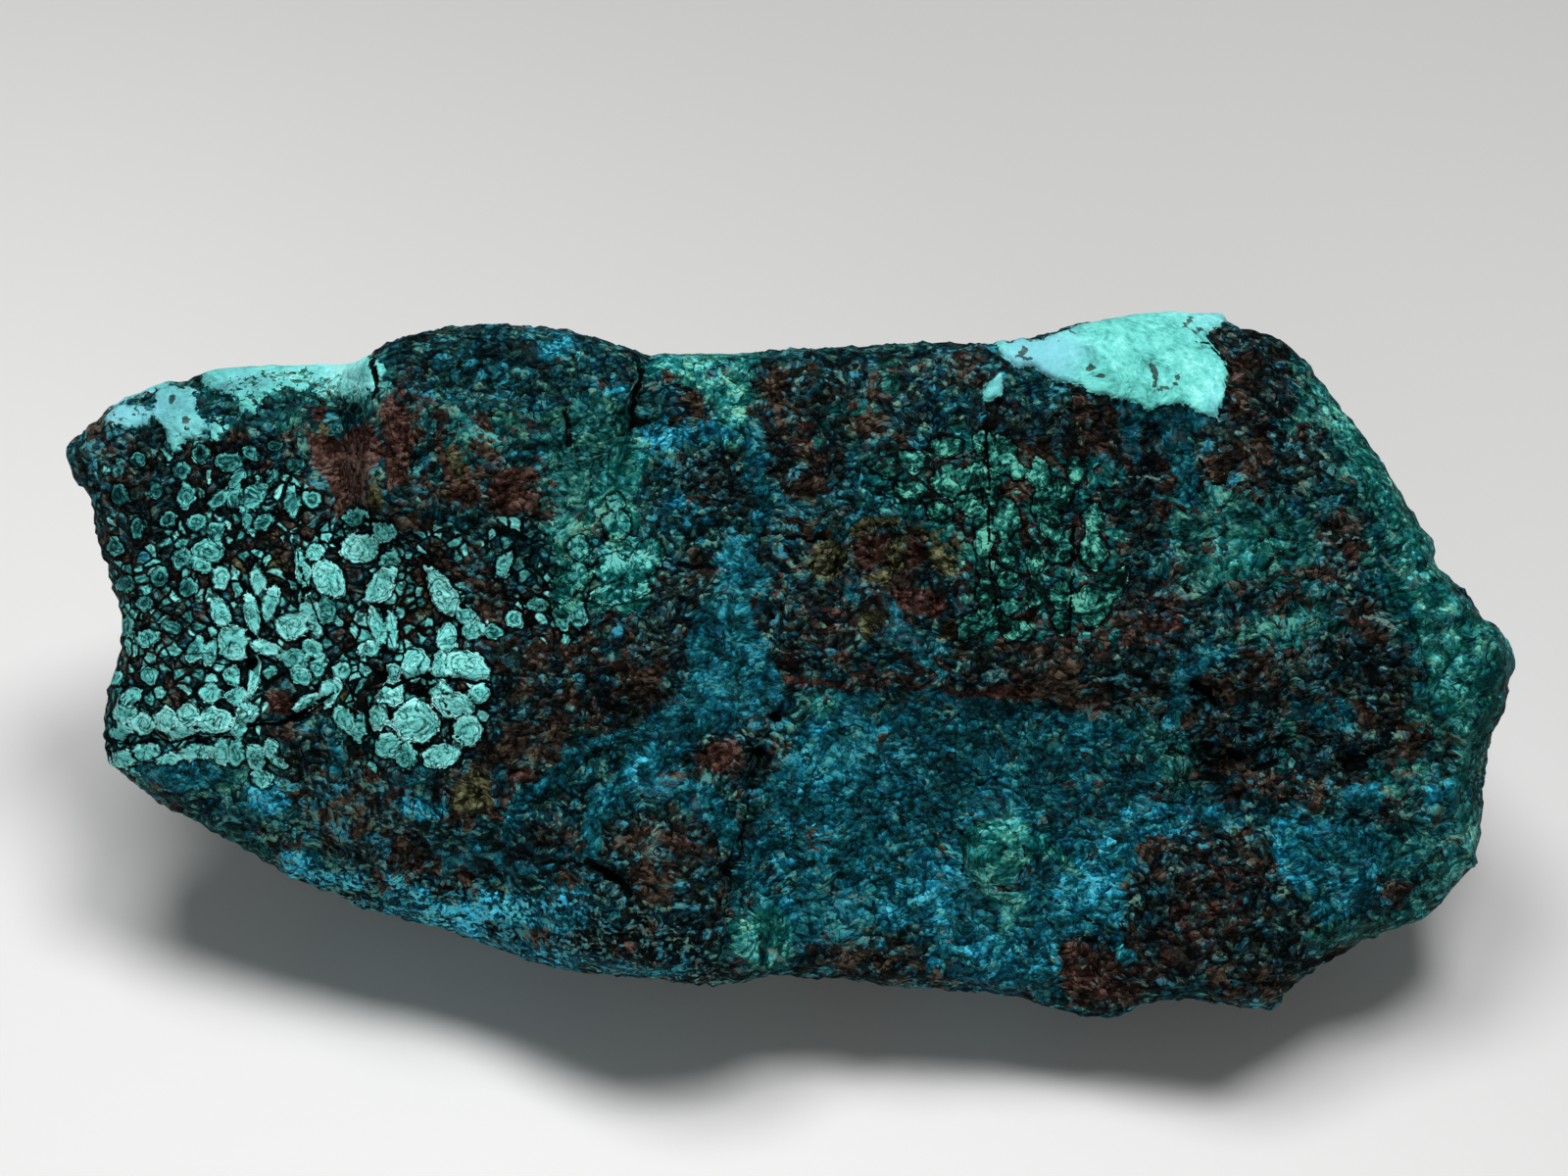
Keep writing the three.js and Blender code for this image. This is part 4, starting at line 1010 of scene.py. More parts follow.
    def _feed(self, socket: bpy.types.NodeSocket, value: Any) -> None:
        """Sets a socket to a value, or links a wire to it."""
        if isinstance(value, Wire):
            self.tree.links.new(value.socket, socket)
        elif socket.type == "RGBA":
            socket.default_value = (*value, 1.0)
        else:
            socket.default_value = value

    @staticmethod
    def _find(sockets: Any, name: str) -> bpy.types.NodeSocket:
        """The socket of that name that is in use, or the first in use if there is no name."""
        return next(socket for socket in sockets if socket.enabled and name in ("", socket.name))

    @staticmethod
    def _set_stops(ramp: bpy.types.ColorRamp, stops: Palette) -> None:
        """Gives a colour ramp its stops."""
        while len(ramp.elements) < len(stops):
            ramp.elements.new(1.0)
        for element, (position, colour) in zip(ramp.elements, stops):
            element.position = position
            element.color = (*colour, 1.0)


# ---- The finish: each mineral's colours, from its darkest to its palest, and how it lies. ----


def palette(*colours: tuple[int, int, int]) -> Palette:
    """A mineral's colours by tone, for a tone that spreads by 0.22 about 0.5.

    Args:
        colours: Five colours as they look on the stone's broad face. In a hundred grains the two darkest
            are like the first, sixteen are at most the second, half are at most the third, and the two
            palest are like the last.

    Returns:
        Each tone with its colour.
    """
    return tuple(zip((0.06, 0.28, 0.5, 0.72, 0.94), (stone_colour(*colour) for colour in colours)))


@dataclass(frozen=True)
class ChrysocollaFinish:
    """Chrysocolla and what it grew in. Sizes and heights are in millimetres."""

    slate: Palette = palette((2, 6, 7), (8, 18, 20), (17, 38, 42), (34, 73, 79), (72, 134, 142))
    teal: Palette = palette((1, 10, 12), (4, 26, 30), (9, 48, 55), (26, 80, 88), (66, 138, 144))
    brown: Palette = palette((6, 4, 3), (18, 14, 11), (34, 28, 23), (53, 44, 37), (86, 76, 65))
    sea: Palette = palette((1, 20, 20), (4, 43, 43), (16, 72, 71), (42, 107, 103), (76, 152, 144))
    vein: Palette = palette((1, 26, 31), (4, 48, 57), (8, 72, 85), (22, 104, 120), (52, 146, 162))
    azure: Palette = palette((1, 30, 38), (3, 55, 67), (10, 84, 102), (35, 134, 157), (76, 198, 226))
    skin: Palette = palette((50, 108, 104), (74, 158, 150), (98, 194, 186), (120, 214, 206), (154, 234, 228))
    green: Palette = palette((3, 46, 46), (6, 67, 66), (19, 93, 90), (50, 136, 131), (106, 198, 188))
    moss: Palette = palette((3, 18, 14), (9, 46, 41), (24, 86, 78), (46, 124, 112), (98, 182, 160))
    mint: Palette = palette((10, 50, 50), (42, 112, 110), (90, 184, 178), (120, 212, 206), (160, 240, 236))
    rust: Palette = palette((15, 5, 4), (30, 17, 14), (49, 32, 27), (69, 48, 42), (100, 79, 72))
    olive: Palette = palette((6, 7, 2), (22, 23, 12), (45, 47, 31), (75, 77, 52), (110, 112, 82))
    cool_tint: Colour = (0.45, 0.98, 1.2)
    warm_tint: Colour = (1.85, 1.05, 0.7)
    lilac: Colour = stone_colour(120, 186, 204)
    shade: Colour = stone_colour(1, 4, 4)
    pale: Colour = stone_colour(108, 138, 134)

    # the sizes of the patterns, and how some are stretched
    grain: float = 0.8
    fine_grain: float = 0.36
    cell: float = 0.85
    ring: float = 0.4
    mist: float = 5.0
    cloud: float = 1.6
    speck: float = 0.34
    curl_and_glint: float = 0.9
    split: float = 2.6
    streak: float = 1.2
    grain_stretch: tuple[float, float, float] = (0.92, 1.1, 1.0)
    upright_stretch: tuple[float, float, float] = (3.2, 0.3, 1.0)
    level_stretch: tuple[float, float, float] = (0.3, 3.2, 1.0)
    warps: tuple[tuple[float, float], ...] = ((2.6, 1.1), (0.6, 0.24))  # each a size and a reach

    # the ranges of patterns
    tint_range: Range = (0.15, 0.85)
    gap_range: Range = (0.6, 0.95)
    line_range: Range = (0.3, 1.4)  # in widths of the line
    mask_range: Range = (-0.07, 0.07)
    cool_range: Range = (-0.2, 0.2)
    brown_range: Range = (-0.13, 0.13)
    cell_range: Range = (0.16, 0.24)
    cell_rim: Range = (0.05, 0.14)
    outer_rim: Range = (-0.24, -0.1)
    inner_rim: Range = (-0.02, 0.04)
    ring_line: Range = (-0.99, -0.75)
    moss_range: Range = (0.15, 0.3)
    green_range: Range = (0.55, 0.8)
    gloss_range: Range = (0.2, 0.8)

    # how much of what is under them some marks and rims hide, and how many cells and rings there are
    fine_gap: float = 0.7
    split_share: float = 0.85
    pale_share: float = 0.7
    lilac_share: float = 0.7
    speck_share: float = 0.85
    line_share: float = 0.7
    rim_share: float = 0.9
    large_rim_share: float = 0.92
    sea_wax: float = 0.7
    most_cells: float = 0.76
    small_rings: float = 22.0

    # how much marks, streaks and gaps change a tone: the brighter and darker marks are partly painted light and
    # shade, the gaps partly painted crevice shade
    lit_and_paler_lift: float = 0.28
    shaded_and_darker_drop: float = 0.24
    # the gaps' darkening is partly dark mineral, partly painted shade in the grains' crevices
    gap_and_crevice_shade_drop: float = 0.24
    massive_gap_and_crevice_shade_drop: float = 0.16
    # the pale curly flecks: partly paler mineral, partly painted glints on the grains
    curl_and_glint_lift: float = 0.26
    streak_lift: float = 0.6
    tint_share: float = 0.55

    # which grains of the matrix are brown: those past a bar, which the brown and teal marks move
    brown_bar: float = 0.775
    brown_pull: float = 0.26
    teal_pull: float = 0.12

    # the relief that is too fine for the mesh, and what calms it
    grain_relief: float = 0.4
    fine_relief: float = 0.17
    speck_relief: float = 0.1
    cell_relief: float = 0.1
    crack_relief: float = 0.15
    skin_calm: float = 0.75
    green_calm: float = 0.3
    cell_calm: float = 0.55
    least_relief: float = 0.2

    dull: float = 0.7
    waxy_drop: float = 0.15
    rough_spread: float = 0.12
    specular: float = 0.03
    coat: float = 0.12
    coat_roughness: float = 0.3

    def material(self) -> bpy.types.Material:
        """Makes the material.

        Returns:
            The material.
        """
        material, graph = Graph.of_material("chrysocolla")
        surface = Surface(graph, self)
        graph.show(
            Base_Color=surface.colour(),
            Roughness=surface.roughness(),
            Specular_IOR_Level=self.specular,
            Coat_Weight=surface.gloss(),
            Coat_Roughness=self.coat_roughness,
            Normal=surface.normal(),
        )
        return material


class Surface:
    """The stone's pattern: shared textures, and the colour, gloss and relief that are made of them."""

    def __init__(self, graph: Graph, finish: ChrysocollaFinish) -> None:
        """Makes the textures that every mineral shares.

        Args:
            graph: The material's graph.
            finish: The finish.
        """
        self.graph = graph
        self.finish = finish
        self.place = self._warped(graph.attribute("place", "Vector"))
        flat = graph.vector("MULTIPLY", self.place, finish.grain_stretch)
        coarse = graph.grains(flat, finish.grain)
        fine = graph.grains(flat, finish.fine_grain)
        self.grain_tone, self.grain_kind, self.grain_hue = graph.chances(coarse)
        self.fine_tone, self.fine_kind, self.fine_hue = graph.chances(fine)
        hue = self._spread(1.0, grain_hue=0.5, fine_hue=0.5)
        self.tint = graph.blend(graph.step(hue, *finish.tint_range), finish.cool_tint, finish.warm_tint)
        self.grain_reach = graph.out(coarse, "Distance")
        self.fine_reach = graph.out(fine, "Distance")
        self.mist = graph.noise(self.place, finish.mist, 2, 1)
        self.cloud = graph.noise(self.place, finish.cloud, 3, 2, 0.8)
        self.speck = graph.noise(flat, finish.speck, 2, 3, 0.3)
        # pale winding lines: partly paler mineral, partly painted glints
        self.curl_and_glint = self._lines(finish.curl_and_glint, 4, 0.12)
        self.split = self._lines(finish.split, 5, 0.03)
        self.cell_chance, self.cell_tone, _ = graph.chances(graph.grains(self.place, finish.cell))
        self.cell_edge = graph.out(graph.grains(self.place, finish.cell, "DISTANCE_TO_EDGE"))
        self.cell_rings = graph.maths("SINE", self.cell_edge * finish.small_rings + 4 * self.speck)
        self.layers = {layer: graph.attribute(layer.attribute) for layer in Layer}
        self.cell_depth = graph.attribute("cell_depth")
        self.cell_paleness = graph.attribute("cell_paleness")
        chance = self._spread(1.5, cloud=0.42, speck=0.3, grain_kind=0.34, fine_kind=0.22)
        bars = {layer: chance for layer in Layer} | {
            Layer.SKIN: self._spread(1.5, cloud=0.3, speck=0.4, fine_kind=0.3),
            Layer.DARK: self._spread(1.0, speck=0.4),
            Layer.SPECK: self._spread(1.2, speck=0.5),
            Layer.PALE: self._spread(1.2, speck=0.5, cloud=0.3),
            Layer.VEIN: self._spread(1.4, cloud=0.45, speck=0.4, fine_kind=0.25),
        }
        self.masks = {layer: self._mask(layer, bar) for layer, bar in bars.items()}

    def _spread(self, gain: float, **weights: float) -> Wire:
        """A weighted sum of patterns about their middle, stretched to fill the range from 0 to 1.

        Args:
            gain: How much the sum is stretched.
            weights: The weight of each of the surface's patterns, by name.

        Returns:
            The sum.
        """
        total = 0.5
        for name, weight in weights.items():
            total = total + weight * gain * (getattr(self, name) - 0.5)
        return total

    def _warped(self, place: Wire) -> Wire:
        """The place, moved about a little so that no pattern's lines run straight."""
        graph = self.graph
        for size, reach in self.finish.warps:
            inputs = {"Vector": place, "Scale": 1 / size, "Detail": 1.0}
            wander = graph.out(graph.add("ShaderNodeTexNoise", {}, inputs), "Color")
            centred = graph.vector("SUBTRACT", wander, (0.5, 0.5, 0.5))
            place = graph.vector("ADD", place, graph.vector("SCALE", centred, reach))
        return place

    def _lines(self, size: float, seed: float, width: float) -> Wire:
        """Thin winding lines, 1 on the line and 0 beside it."""
        away = abs(self.graph.noise(self.place, size, 2, seed, 1.4) - 0.5)
        return 1 - self.graph.step(away, *(width * share for share in self.finish.line_range))

    def _mask(self, layer: Layer, bar: Wire) -> Wire:
        """A layer's cover with ragged, grainy edges instead of soft ones: 1 where it passes a bar."""
        return self.graph.step(self.layers[layer] * 1.2 - 0.1 - bar, *self.finish.mask_range)

    def colour(self) -> Wire:
        """The colour of the whole surface, from the matrix up to the cracks, with some painted light and shade."""
        graph, finish, layers, masks = self.graph, self.finish, self.layers, self.masks
        gaps_and_crevice_shade = self._gaps_and_crevice_shade()
        # painted light and shade, along with paler and darker mineral, shift every tone here
        shift = self._streaks() + finish.lit_and_paler_lift * layers[Layer.BRIGHT] - finish.shaded_and_darker_drop * layers[Layer.DIM]
        grainy = self._spread(1.25, grain_tone=0.34, fine_tone=0.5, speck=0.34, mist=0.26)
        # the gaps darken the tone: partly dark mineral, partly painted shade in the grains' crevices
        grainy = grainy + shift - finish.gap_and_crevice_shade_drop * gaps_and_crevice_shade + 0.03
        base = self._matrix(grainy)
        base = graph.blend(masks[Layer.RUST], base, graph.ramp(grainy, finish.rust))
        base = graph.blend(masks[Layer.OLIVE], base, graph.ramp(grainy, finish.olive))
        base = self._small_cells(base)
        massive = self._spread(1.2, mist=0.3, cloud=0.5, speck=0.34, fine_tone=0.38, grain_tone=0.26)
        # painted glints: the pale curly flecks lift the tone, partly as paler mineral, partly as highlights on the
        # grains
        massive = massive + shift + finish.curl_and_glint_lift * self.curl_and_glint * self.cloud
        # painted crevice shade, with dark mineral, in the gaps between grains
        massive = massive - finish.massive_gap_and_crevice_shade_drop * gaps_and_crevice_shade - 0.05
        for layer in (Layer.SEA, Layer.VEIN, Layer.AZURE, Layer.GREEN):
            mineral = graph.ramp(massive, getattr(finish, layer.attribute))
            mineral = graph.blend(finish.tint_share, mineral, self.tint, "MULTIPLY")
            base = graph.blend(masks[layer], base, mineral)
        base = self._large_cells(base, massive)
        base = graph.blend(finish.split_share * self.split * (1 - masks[Layer.SKIN]), base, finish.shade)
        base = graph.blend(masks[Layer.SKIN], base, self._skin())
        base = graph.blend(finish.pale_share * masks[Layer.PALE], base, finish.pale)
        return graph.blend(masks[Layer.DARK], base, finish.shade)

    def _gaps_and_crevice_shade(self) -> Wire:
        """The dark gaps between grains: partly the dark mineral between them, partly painted shade in the crevices
        that the bump sinks there.
        """
        graph, finish = self.graph, self.finish
        coarse, fine = (graph.step(reach, *finish.gap_range) for reach in (self.grain_reach, self.fine_reach))
        return graph.maths("MAXIMUM", coarse, finish.fine_gap * fine)

    def _streaks(self) -> Wire:
        """What upright and level streaks add to the tone."""
        graph, finish = self.graph, self.finish
        total = 0.0
        for layer, stretch in ((Layer.UPRIGHT, finish.upright_stretch), (Layer.LEVEL, finish.level_stretch)):
            place = graph.vector("MULTIPLY", self.place, stretch)
            wave = graph.noise(place, finish.streak, 2, 6) - 0.5
            total = total + self.layers[layer] * finish.streak_lift * wave
        return total + self.layers[Layer.LEVEL] * (0.7 * (self.speck - 0.5) + 0.5 * (self.fine_tone - 0.5))

    def _matrix(self, tone: Wire) -> Wire:
        """The matrix: slate and teal grains, with brown ones among them."""
        graph, finish = self.graph, self.finish
        brown, teal = self.layers[Layer.BROWN], self.layers[Layer.TEAL]
        kind = self._spread(1.0, mist=0.7, grain_kind=0.34, cloud=0.66, fine_kind=0.2)
        duller = graph.step(brown - kind, *finish.cool_range)
        cool = graph.blend(duller, graph.ramp(tone, finish.teal), graph.ramp(tone, finish.slate))
        cool = graph.blend(1.0, cool, self.tint, "MULTIPLY")
        bar = finish.brown_bar - finish.brown_pull * brown + finish.teal_pull * teal
        chosen = graph.step(kind - bar, *finish.brown_range)
        return graph.blend(chosen, cool, graph.ramp(tone, finish.brown))

    def _small_cells(self, base: Wire) -> Wire:
        """Small pale cells with black rims, over the matrix."""
        graph, finish, cells = self.graph, self.finish, self.layers[Layer.CELLS]
        tone = self._spread(1.0, cell_tone=0.55, speck=0.3, cell_rings=0.1) + 0.02
        shown = graph.step(cells * finish.most_cells - self.cell_chance, 0.0, 0.05)
        shown = shown * graph.step(self.cell_edge + 0.12 * self.speck, *finish.cell_range)
        rim = graph.step(cells, 0.2, 0.5) * (1 - graph.step(self.cell_edge, *finish.cell_rim))
        tinted = graph.blend(self.masks[Layer.GREEN], graph.ramp(tone, finish.mint), graph.ramp(tone, finish.moss))
        return graph.blend(rim * finish.rim_share, graph.blend(shown, base, tinted), finish.shade)

    def _large_cells(self, base: Wire, massive: Wire) -> Wire:
        """The large cells of the breccia: a black rim round each, and dark and pale rings inside it."""
        graph, finish, green = self.graph, self.finish, self.layers[Layer.GREEN]
        depth = self.cell_depth + 0.16 * (self.speck - 0.5) + 0.3 * (self.cloud - 0.5)
        wave = graph.maths("SINE", depth * (math.tau / finish.ring) + 9 * self.cloud)
        inside = graph.step(depth, 0.0, 0.05)
        rim = graph.step(depth, *finish.outer_rim) * (1 - graph.step(depth, *finish.inner_rim))
        tone = self._spread(1.0, speck=0.26, cloud=0.4, fine_tone=0.12)
        border = 1 - graph.step(depth, 0.1, 0.3)
        tone = tone + 0.95 * (self.cell_paleness - 0.82) + 0.17 * border + 0.1 * wave
        lines = 1 - graph.step(wave, *finish.ring_line)
        cell = graph.blend(finish.line_share * lines, graph.ramp(tone, finish.mint), finish.shade)
        grainy = 1.35 * (massive - 0.5) + 0.5 * (self.cell_paleness - 0.8) + 0.45
        cell = graph.blend(graph.step(green, *finish.moss_range), cell, graph.ramp(grainy, finish.moss))
        cell = graph.blend(graph.step(green, *finish.green_range), cell, graph.ramp(grainy, finish.green))
        return graph.blend(rim * finish.large_rim_share, graph.blend(inside, base, cell), finish.shade)

    def _skin(self) -> Wire:
        """The pale skin, with its bluer parts and its brown specks."""
        graph, finish = self.graph, self.finish
        tone = self._spread(1.1, mist=0.4, cloud=0.5, speck=0.4)
        # painted light on skin that turns away from the lights, along with paler skin, lifts the tone
        tone = tone + finish.lit_and_paler_lift * self.layers[Layer.BRIGHT]
        lilac = finish.lilac_share * self.layers[Layer.LILAC]
        skin = graph.blend(lilac, graph.ramp(tone, finish.skin), finish.lilac)
        specks = finish.speck_share * self.masks[Layer.SPECK]
        return graph.blend(specks, skin, graph.ramp(tone + 0.15, finish.brown))

    def roughness(self) -> Wire:
        """How rough the surface is: waxy where the mineral is massive, dull in the matrix."""
        finish = self.finish
        return finish.dull - finish.waxy_drop * self._waxy() + finish.rough_spread * (self.speck - 0.5)

    def gloss(self) -> Wire:
        """How much clear gloss lies over the massive mineral."""
        return self.finish.coat * self._waxy() * self.graph.step(self.cloud, *self.finish.gloss_range)

    def _waxy(self) -> Wire:
        """How waxy the surface is."""
        massive = self.graph.maths("MAXIMUM", self.layers[Layer.VEIN], self.layers[Layer.AZURE])
        return self.graph.maths("MAXIMUM", massive, self.finish.sea_wax * self.layers[Layer.SEA])

    def normal(self) -> Wire:
        """The fine relief of grains, cracks and flecks."""
        graph, finish, layers = self.graph, self.finish, self.layers
        cell = graph.step(self.cell_depth, 0.0, 0.1)
        free = 1 - finish.skin_calm * layers[Layer.SKIN] - finish.green_calm * layers[Layer.GREEN]
        free = graph.maths("MAXIMUM", free - finish.cell_calm * cell, finish.least_relief)
        grains = -finish.grain_relief * self.grain_reach - finish.fine_relief * self.fine_reach
        grains = grains + finish.speck_relief * self.speck
        height = grains * free - finish.crack_relief * layers[Layer.DARK] + finish.cell_relief * cell
        return graph.out(graph.add("ShaderNodeBump", {}, {"Strength": 1.0, "Distance": MM, "Height": height}))


# ---- The stone. ----


@dataclass(frozen=True)
class BrokenSurface:
    """The relief that a fracture leaves, made by Geometry Nodes. Sizes and heights are in millimetres.

    Every value is an input of the tree. A calm of 1 leaves none of that form on a calm mineral.
    """

    lump_size: float = 3.2
    lump_height: float = 1.1
    lump_calm: float = 0.6
    grain_size: float = 1.05
    grain_height: float = 0.5
    grain_calm: float = 0.85
    flake_size: float = 0.6
    flake_height: float = 0.22
    flake_calm: float = 0.9
    chip_size: float = 5.5
    chip_height: float = 1.5
    seed: float = 7.0

    def apply(self, piece: bpy.types.Object, material: bpy.types.Material) -> bpy.types.Mesh:
        """Roughens a piece's mesh.

        Args:
            piece: The smooth piece, with its attributes.
            material: The material that the mesh gets.

        Returns:
            The rough mesh.
        """
        tree = self._tree(material)
        modifier = piece.modifiers.new("broken surface", "NODES")
        modifier.node_group = tree
        for item in tree.interface.items_tree:
            if hasattr(self, item.name):
                modifier[item.identifier] = getattr(self, item.name)
        mesh = evaluated_mesh(piece)
        piece.modifiers.remove(modifier)
        return mesh

    def _tree(self, material: bpy.types.Material) -> bpy.types.NodeTree:
        """Builds the tree: it moves each point along its normal by lumps, grains, chips and marks."""
        tree = bpy.data.node_groups.new("broken surface", "GeometryNodeTree")
        for way in ("INPUT", "OUTPUT"):
            tree.interface.new_socket("Geometry", in_out=way, socket_type="NodeSocketGeometry")
        names = [field.name for field in fields(self)]
        for name in names:
            tree.interface.new_socket(name, in_out="INPUT", socket_type="NodeSocketFloat")
        graph = Graph(tree)
        given = graph.add("NodeGroupInput")
        value = {name: graph.out(given, name) for name in names}
        place = self._attribute(graph, "place", "FLOAT_VECTOR")
        calm, hidden, marked, loose = (
            self._attribute(graph, name, "FLOAT") for name in ("calm", "hidden", "relief", "loose")
        )
        reach = 0.45  # the usual distance to a grain's middle
        seed = value["seed"]
        lumps = (self._noise(graph, place, value["lump_size"], seed) - 0.5) * value["lump_height"]
        grains = (reach - self._voronoi(graph, place, value["grain_size"], seed)) * value["grain_height"]
        flakes = (self._noise(graph, place, value["flake_size"], seed) - 0.5) * value["flake_height"]
        chip = reach - self._voronoi(graph, place, value["chip_size"], seed)
        wide = self._noise(graph, place, value["chip_size"], seed + 3.0)
        chips = (chip * 0.6 + (wide - 0.5)) * value["chip_height"] * hidden
        height = lumps * (1 - value["lump_calm"] * calm) + grains * (1 - value["grain_calm"] * calm)
        height = (height + flakes * (1 - value["flake_calm"] * calm) + chips + marked) * loose
        offset = graph.vector("SCALE", graph.out(graph.add("GeometryNodeInputNormal")), height * MM)
        shape = graph.out(given)
        for kind, inputs in (
            ("GeometryNodeSetPosition", {"Offset": offset}),
            ("GeometryNodeRealizeInstances", {}),
            ("GeometryNodeSetMaterial", {"Material": material}),
        ):
            shape = graph.out(graph.add(kind, {}, {"Geometry": shape} | inputs))
        graph.add("NodeGroupOutput", {}, {"Geometry": shape})
        return tree

    @staticmethod
    def _attribute(graph: Graph, name: str, kind: str) -> Wire:
        """An attribute of the mesh, in Geometry Nodes."""
        return graph.out(graph.add("GeometryNodeInputNamedAttribute", {"data_type": kind}, {"Name": name}))

    @staticmethod
    def _seeded(graph: Graph, place: Wire, size: Wire, seed: Wire) -> dict[str, Wire]:
        """A texture's place, shifted by the seed, and its scale."""
        shifted = graph.vector("ADD", place, graph.vector("SCALE", (3.1, 5.7, 7.9), seed))
        return {"Vector": shifted, "Scale": graph.maths("DIVIDE", 1.0, size)}

    def _noise(self, graph: Graph, place: Wire, size: Wire, seed: Wire) -> Wire:
        """Soft noise of a given size, from 0 to 1."""
        inputs = self._seeded(graph, place, size, seed) | {"Detail": 3.0, "Roughness": 0.55}
        return graph.out(graph.add("ShaderNodeTexNoise", {}, inputs))

    def _voronoi(self, graph: Graph, place: Wire, size: Wire, seed: Wire) -> Wire:
        """The distance to the middle of the nearest grain, in grain sizes."""
        return graph.out(graph.add("ShaderNodeTexVoronoi", {}, self._seeded(graph, place, size, seed)), "Distance")


@dataclass
class Stone:
    """The stone: the CAD solid made smooth and fine, painted by its marks and roughened.

    A fade that is a range goes by facing: 1 is towards the camera, 0 is edge-on and -1 is away. Other
    fades and the wanders are in pixels.
    """

    view: Viewpoint
    finish: ChrysocollaFinish
    surface: BrokenSurface
    weld: float = 1e-6  # metres
    smoothing: int = 2
    quad_angle: float = 60.0
    sharp_angle: float = 14.0
    sharp_facing: float = 0.0
    kept_share: float = 0.52
    fine_turn: float = 0.77
    hidden_fade: Range = (0.0, -0.3)
    rim_fade: Range = (-0.45, -0.05)
    chip_fade: Range = (0.15, -0.35)
    wander_size: float = 46.0
    wander: float = 12.0
    cell_wander_size: float = 13.0
    cell_wander: float = 3.2
    finer_wander: float = 2.7  # how many times finer the second wander is
    finer_share: float = 0.4
    wander_seed: int = 1795483879  # without one, Blender would take it from the clock
    cell_growth: float = 1.6
    outside: float = -2.0  # the depth where there is no large cell, in millimetres
    relief_fade: float = 10.0
    calm_fade: float = 20.0
    mineral_calm: float = 0.8
    cell_calm: float = 0.7
    foot: float = 1.2  # the height below which the relief fades out, in millimetres

    def build(self) -> bpy.types.Object:
        """Makes the piece.

        Returns:
            The piece, at the origin, with its place in its mesh.
        """
        even = self._smooth_copy(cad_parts["stone"])
        self._thin_out(even)
        self._refine(even.data)
        points, normals = self._points(even.data)
        self._paint(even.data, points, normals)
        material = self.finish.material()
        rough = self.surface.apply(even, material)
        rough.name = "chrysocolla_stone"
        bpy.data.objects.remove(even)
        rough.materials.clear()
        rough.materials.append(material)
        rough.shade_smooth()
        return put("chrysocolla_stone", rough)

    def _smooth_copy(self, node: bpy.types.Object) -> bpy.types.Object:
        """Copies the CAD solid, joins its triangles in pairs, and subdivides it smoothly."""
        mesh = node.data.copy()
        mesh.transform(node.matrix_world)
        solid = bmesh.new()
        solid.from_mesh(mesh)
        bmesh.ops.remove_doubles(solid, verts=solid.verts, dist=self.weld)
        limit = math.radians(self.quad_angle)
        bmesh.ops.join_triangles(
            solid, faces=solid.faces, angle_face_threshold=limit, angle_shape_threshold=limit
        )
        bmesh.ops.recalc_face_normals(solid, faces=solid.faces)
        self._sharpen(solid)
        solid.to_mesh(mesh)
        solid.free()
        mesh.attributes.active_color = None
        coarse = put("coarse", mesh)
        modifier = coarse.modifiers.new("smooth", "SUBSURF")
        modifier.levels = self.smoothing
        modifier.render_levels = self.smoothing
        fine = evaluated_mesh(coarse)
        bpy.data.objects.remove(coarse)
        for layer in list(fine.uv_layers):
            fine.uv_layers.remove(layer)
        return put("smooth", fine)

    def _sharpen(self, solid: bmesh.types.BMesh) -> None:
        """Keeps the edges between fractures sharp where they face away, so that smoothing leaves their form."""
        creases = solid.edges.layers.float.new("crease_edge")
        towards = Vector(self.view.axes()[2])
        for edge in solid.edges:
            facing = sum(face.normal.dot(towards) for face in edge.link_faces) / 2
            if facing < self.sharp_facing and edge.calc_face_angle(0.0) > math.radians(self.sharp_angle):
                edge[creases] = 1.0

    def _thin_out(self, even: bpy.types.Object) -> None:
        """Leaves fewer faces on the sides that face away, so that the broad face can have more."""
        _, normals = self._points(even.data)
        hidden = between(normals @ self.view.axes()[2], *self.hidden_fade)
        group = even.vertex_groups.new(name="turned away")
        for index in np.flatnonzero(hidden > 0):
            group.add([int(index)], float(hidden[index]), "REPLACE")
        modifier = even.modifiers.new("thin out", "DECIMATE")
        modifier.ratio = self.kept_share
        modifier.vertex_group = group.name
        thinned = evaluated_mesh(even)
        even.modifiers.remove(modifier)
        even.vertex_groups.clear()
        even.data = thinned

    def _refine(self, mesh: bpy.types.Mesh) -> None:
        """Splits the faces of the broad face once more, where its marks are small and sharp."""
        fine = bmesh.new()
        fine.from_mesh(mesh)
        middles = np.array([face.calc_center_median() for face in fine.faces]) / MM
        facing = np.array([face.normal for face in fine.faces]) @ self.view.axes()[2]
        plain = Field(*self.view.pixels(middles).T).cover(PLAIN_AREAS, 1.0)
        wanted = (plain < 0.5) & (facing > self.fine_turn)
        edges = list({edge for face, chosen in zip(fine.faces, wanted) if chosen for edge in face.edges})
        bmesh.ops.subdivide_edges(fine, edges=edges, cuts=1, use_grid_fill=True)
        fine.to_mesh(mesh)
        fine.free()

    @staticmethod
    def _points(mesh: bpy.types.Mesh) -> tuple[np.ndarray, np.ndarray]:
        """A mesh's points, in millimetres, and their normals, one a row."""
        points = np.empty(len(mesh.vertices) * 3)
        normals = np.empty(len(mesh.vertices) * 3)
        mesh.vertices.foreach_get("co", points)
        mesh.vertex_normals.foreach_get("vector", normals)
        return points.reshape(-1, 3) / MM, normals.reshape(-1, 3)

